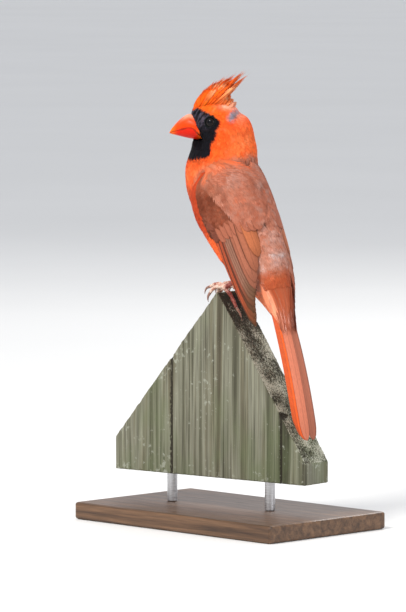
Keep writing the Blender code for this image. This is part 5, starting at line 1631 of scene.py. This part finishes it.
def make_stand():
    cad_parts["stand_base"].data.materials[0] = walnut_finish()
    steel = steel_finish()
    angles = np.linspace(0, 2 * math.pi, 48, endpoint=False)
    heights = (0.0, ROD_EDGE, 1.0, ROD_LENGTH - 1.0, ROD_LENGTH - ROD_EDGE, ROD_LENGTH)
    radii = [ROD_RADIUS - (ROD_EDGE if height in (0.0, ROD_LENGTH) else 0.0) for height in heights]
    rings = [column(np.cos(angles) * r, np.sin(angles) * r, height) for r, height in zip(radii, heights)]
    for word, along in ROD_PLACES.items():
        rod = rolled(f"rod_{word}", rings + picket_point(along, 0.0, BASE_HEIGHT - PERCH_TOP + ROD_GAP))
        choose(rod)
        bpy.ops.object.shade_smooth_by_angle(angle=math.radians(30))
        keep(rod, steel, "brushed_steel", f"stand_rod_{word}")


# Studio


def floor_finish():
    finish = Finish("pale_floor", Roughness=0.75, Specular_IOR_Level=0.2)
    tone = finish.noise(3.0, 2.0)
    return finish.dressed(finish.ramp(tone, (0.3, (0.76, 0.76, 0.75)), (0.7, (0.78, 0.78, 0.77))))


def make_studio():
    scene = bpy.context.scene
    scene.view_settings.view_transform = "Standard"
    scene.world = bpy.data.worlds.new("studio")
    scene.world.use_nodes = True
    background = scene.world.node_tree.nodes["Background"]
    background.inputs["Color"].default_value = (0.93, 0.95, 1.0, 1.0)
    background.inputs["Strength"].default_value = 0.80
    choose()
    bpy.ops.mesh.primitive_circle_add(vertices=64, radius=30.0, fill_type="NGON", location=(0, 0, -0.0002))
    floor = bpy.context.object
    floor.name = "floor"
    floor.data.materials.append(floor_finish())
    aim = Vector((0.0, 0.0, 0.19))
    right, up = Vector((-0.7071, 0.7071, 0.0)), Vector((-0.0616, -0.0616, 0.9962))
    toward = Vector((0.7044, 0.7044, 0.0872))
    for name, away, size, power, colour in (
        ("key", right * -0.75 + up * 1.0 + toward * 0.95, 0.55, 24.0, (1.0, 0.97, 0.92)),
        ("fill", right * 1.3 + up * 0.4 + toward * 1.0, 1.1, 9.0, (0.95, 0.97, 1.0)),
        ("back", right * 0.5 + up * 1.1 - toward * 1.3, 0.8, 9.0, (1.0, 0.98, 0.95)),
    ):
        data = bpy.data.lights.new(name, "AREA")
        data.shape = "DISK"
        data.size, data.energy, data.color = size, power, colour
        lamp = bpy.data.objects.new(name, data)
        scene.collection.objects.link(lamp)
        lamp.location = aim + away
        lamp.rotation_euler = (-away).to_track_quat("-Z", "Y").to_euler()
    lens = bpy.data.cameras.new("camera")
    lens.lens, lens.sensor_width = 304.2, 36.0
    lens.clip_start, lens.clip_end = 0.05, 100.0
    camera = bpy.data.objects.new("camera", lens)
    scene.collection.objects.link(camera)
    target = Vector((0.0, 0.0, PERCH_TOP * MM)) - right * 0.0151 - up * 0.0087
    camera.location = target + toward * 3.0
    camera.rotation_euler = (-toward).to_track_quat("-Z", "Y").to_euler()
    scene.camera = camera


def main():
    make_studio()
    soft, webbed = plumage_finish("soft_plumage", 0.72, 0.07), vane_finish()
    make_coat(make_skin(), soft)
    for side, word in SIDES:
        make_wing(side, word, soft, webbed)
    make_tail(soft, webbed)
    make_crest(soft)
    make_bill()
    make_eyes()
    make_feet()
    make_picket()
    make_stand()


main()
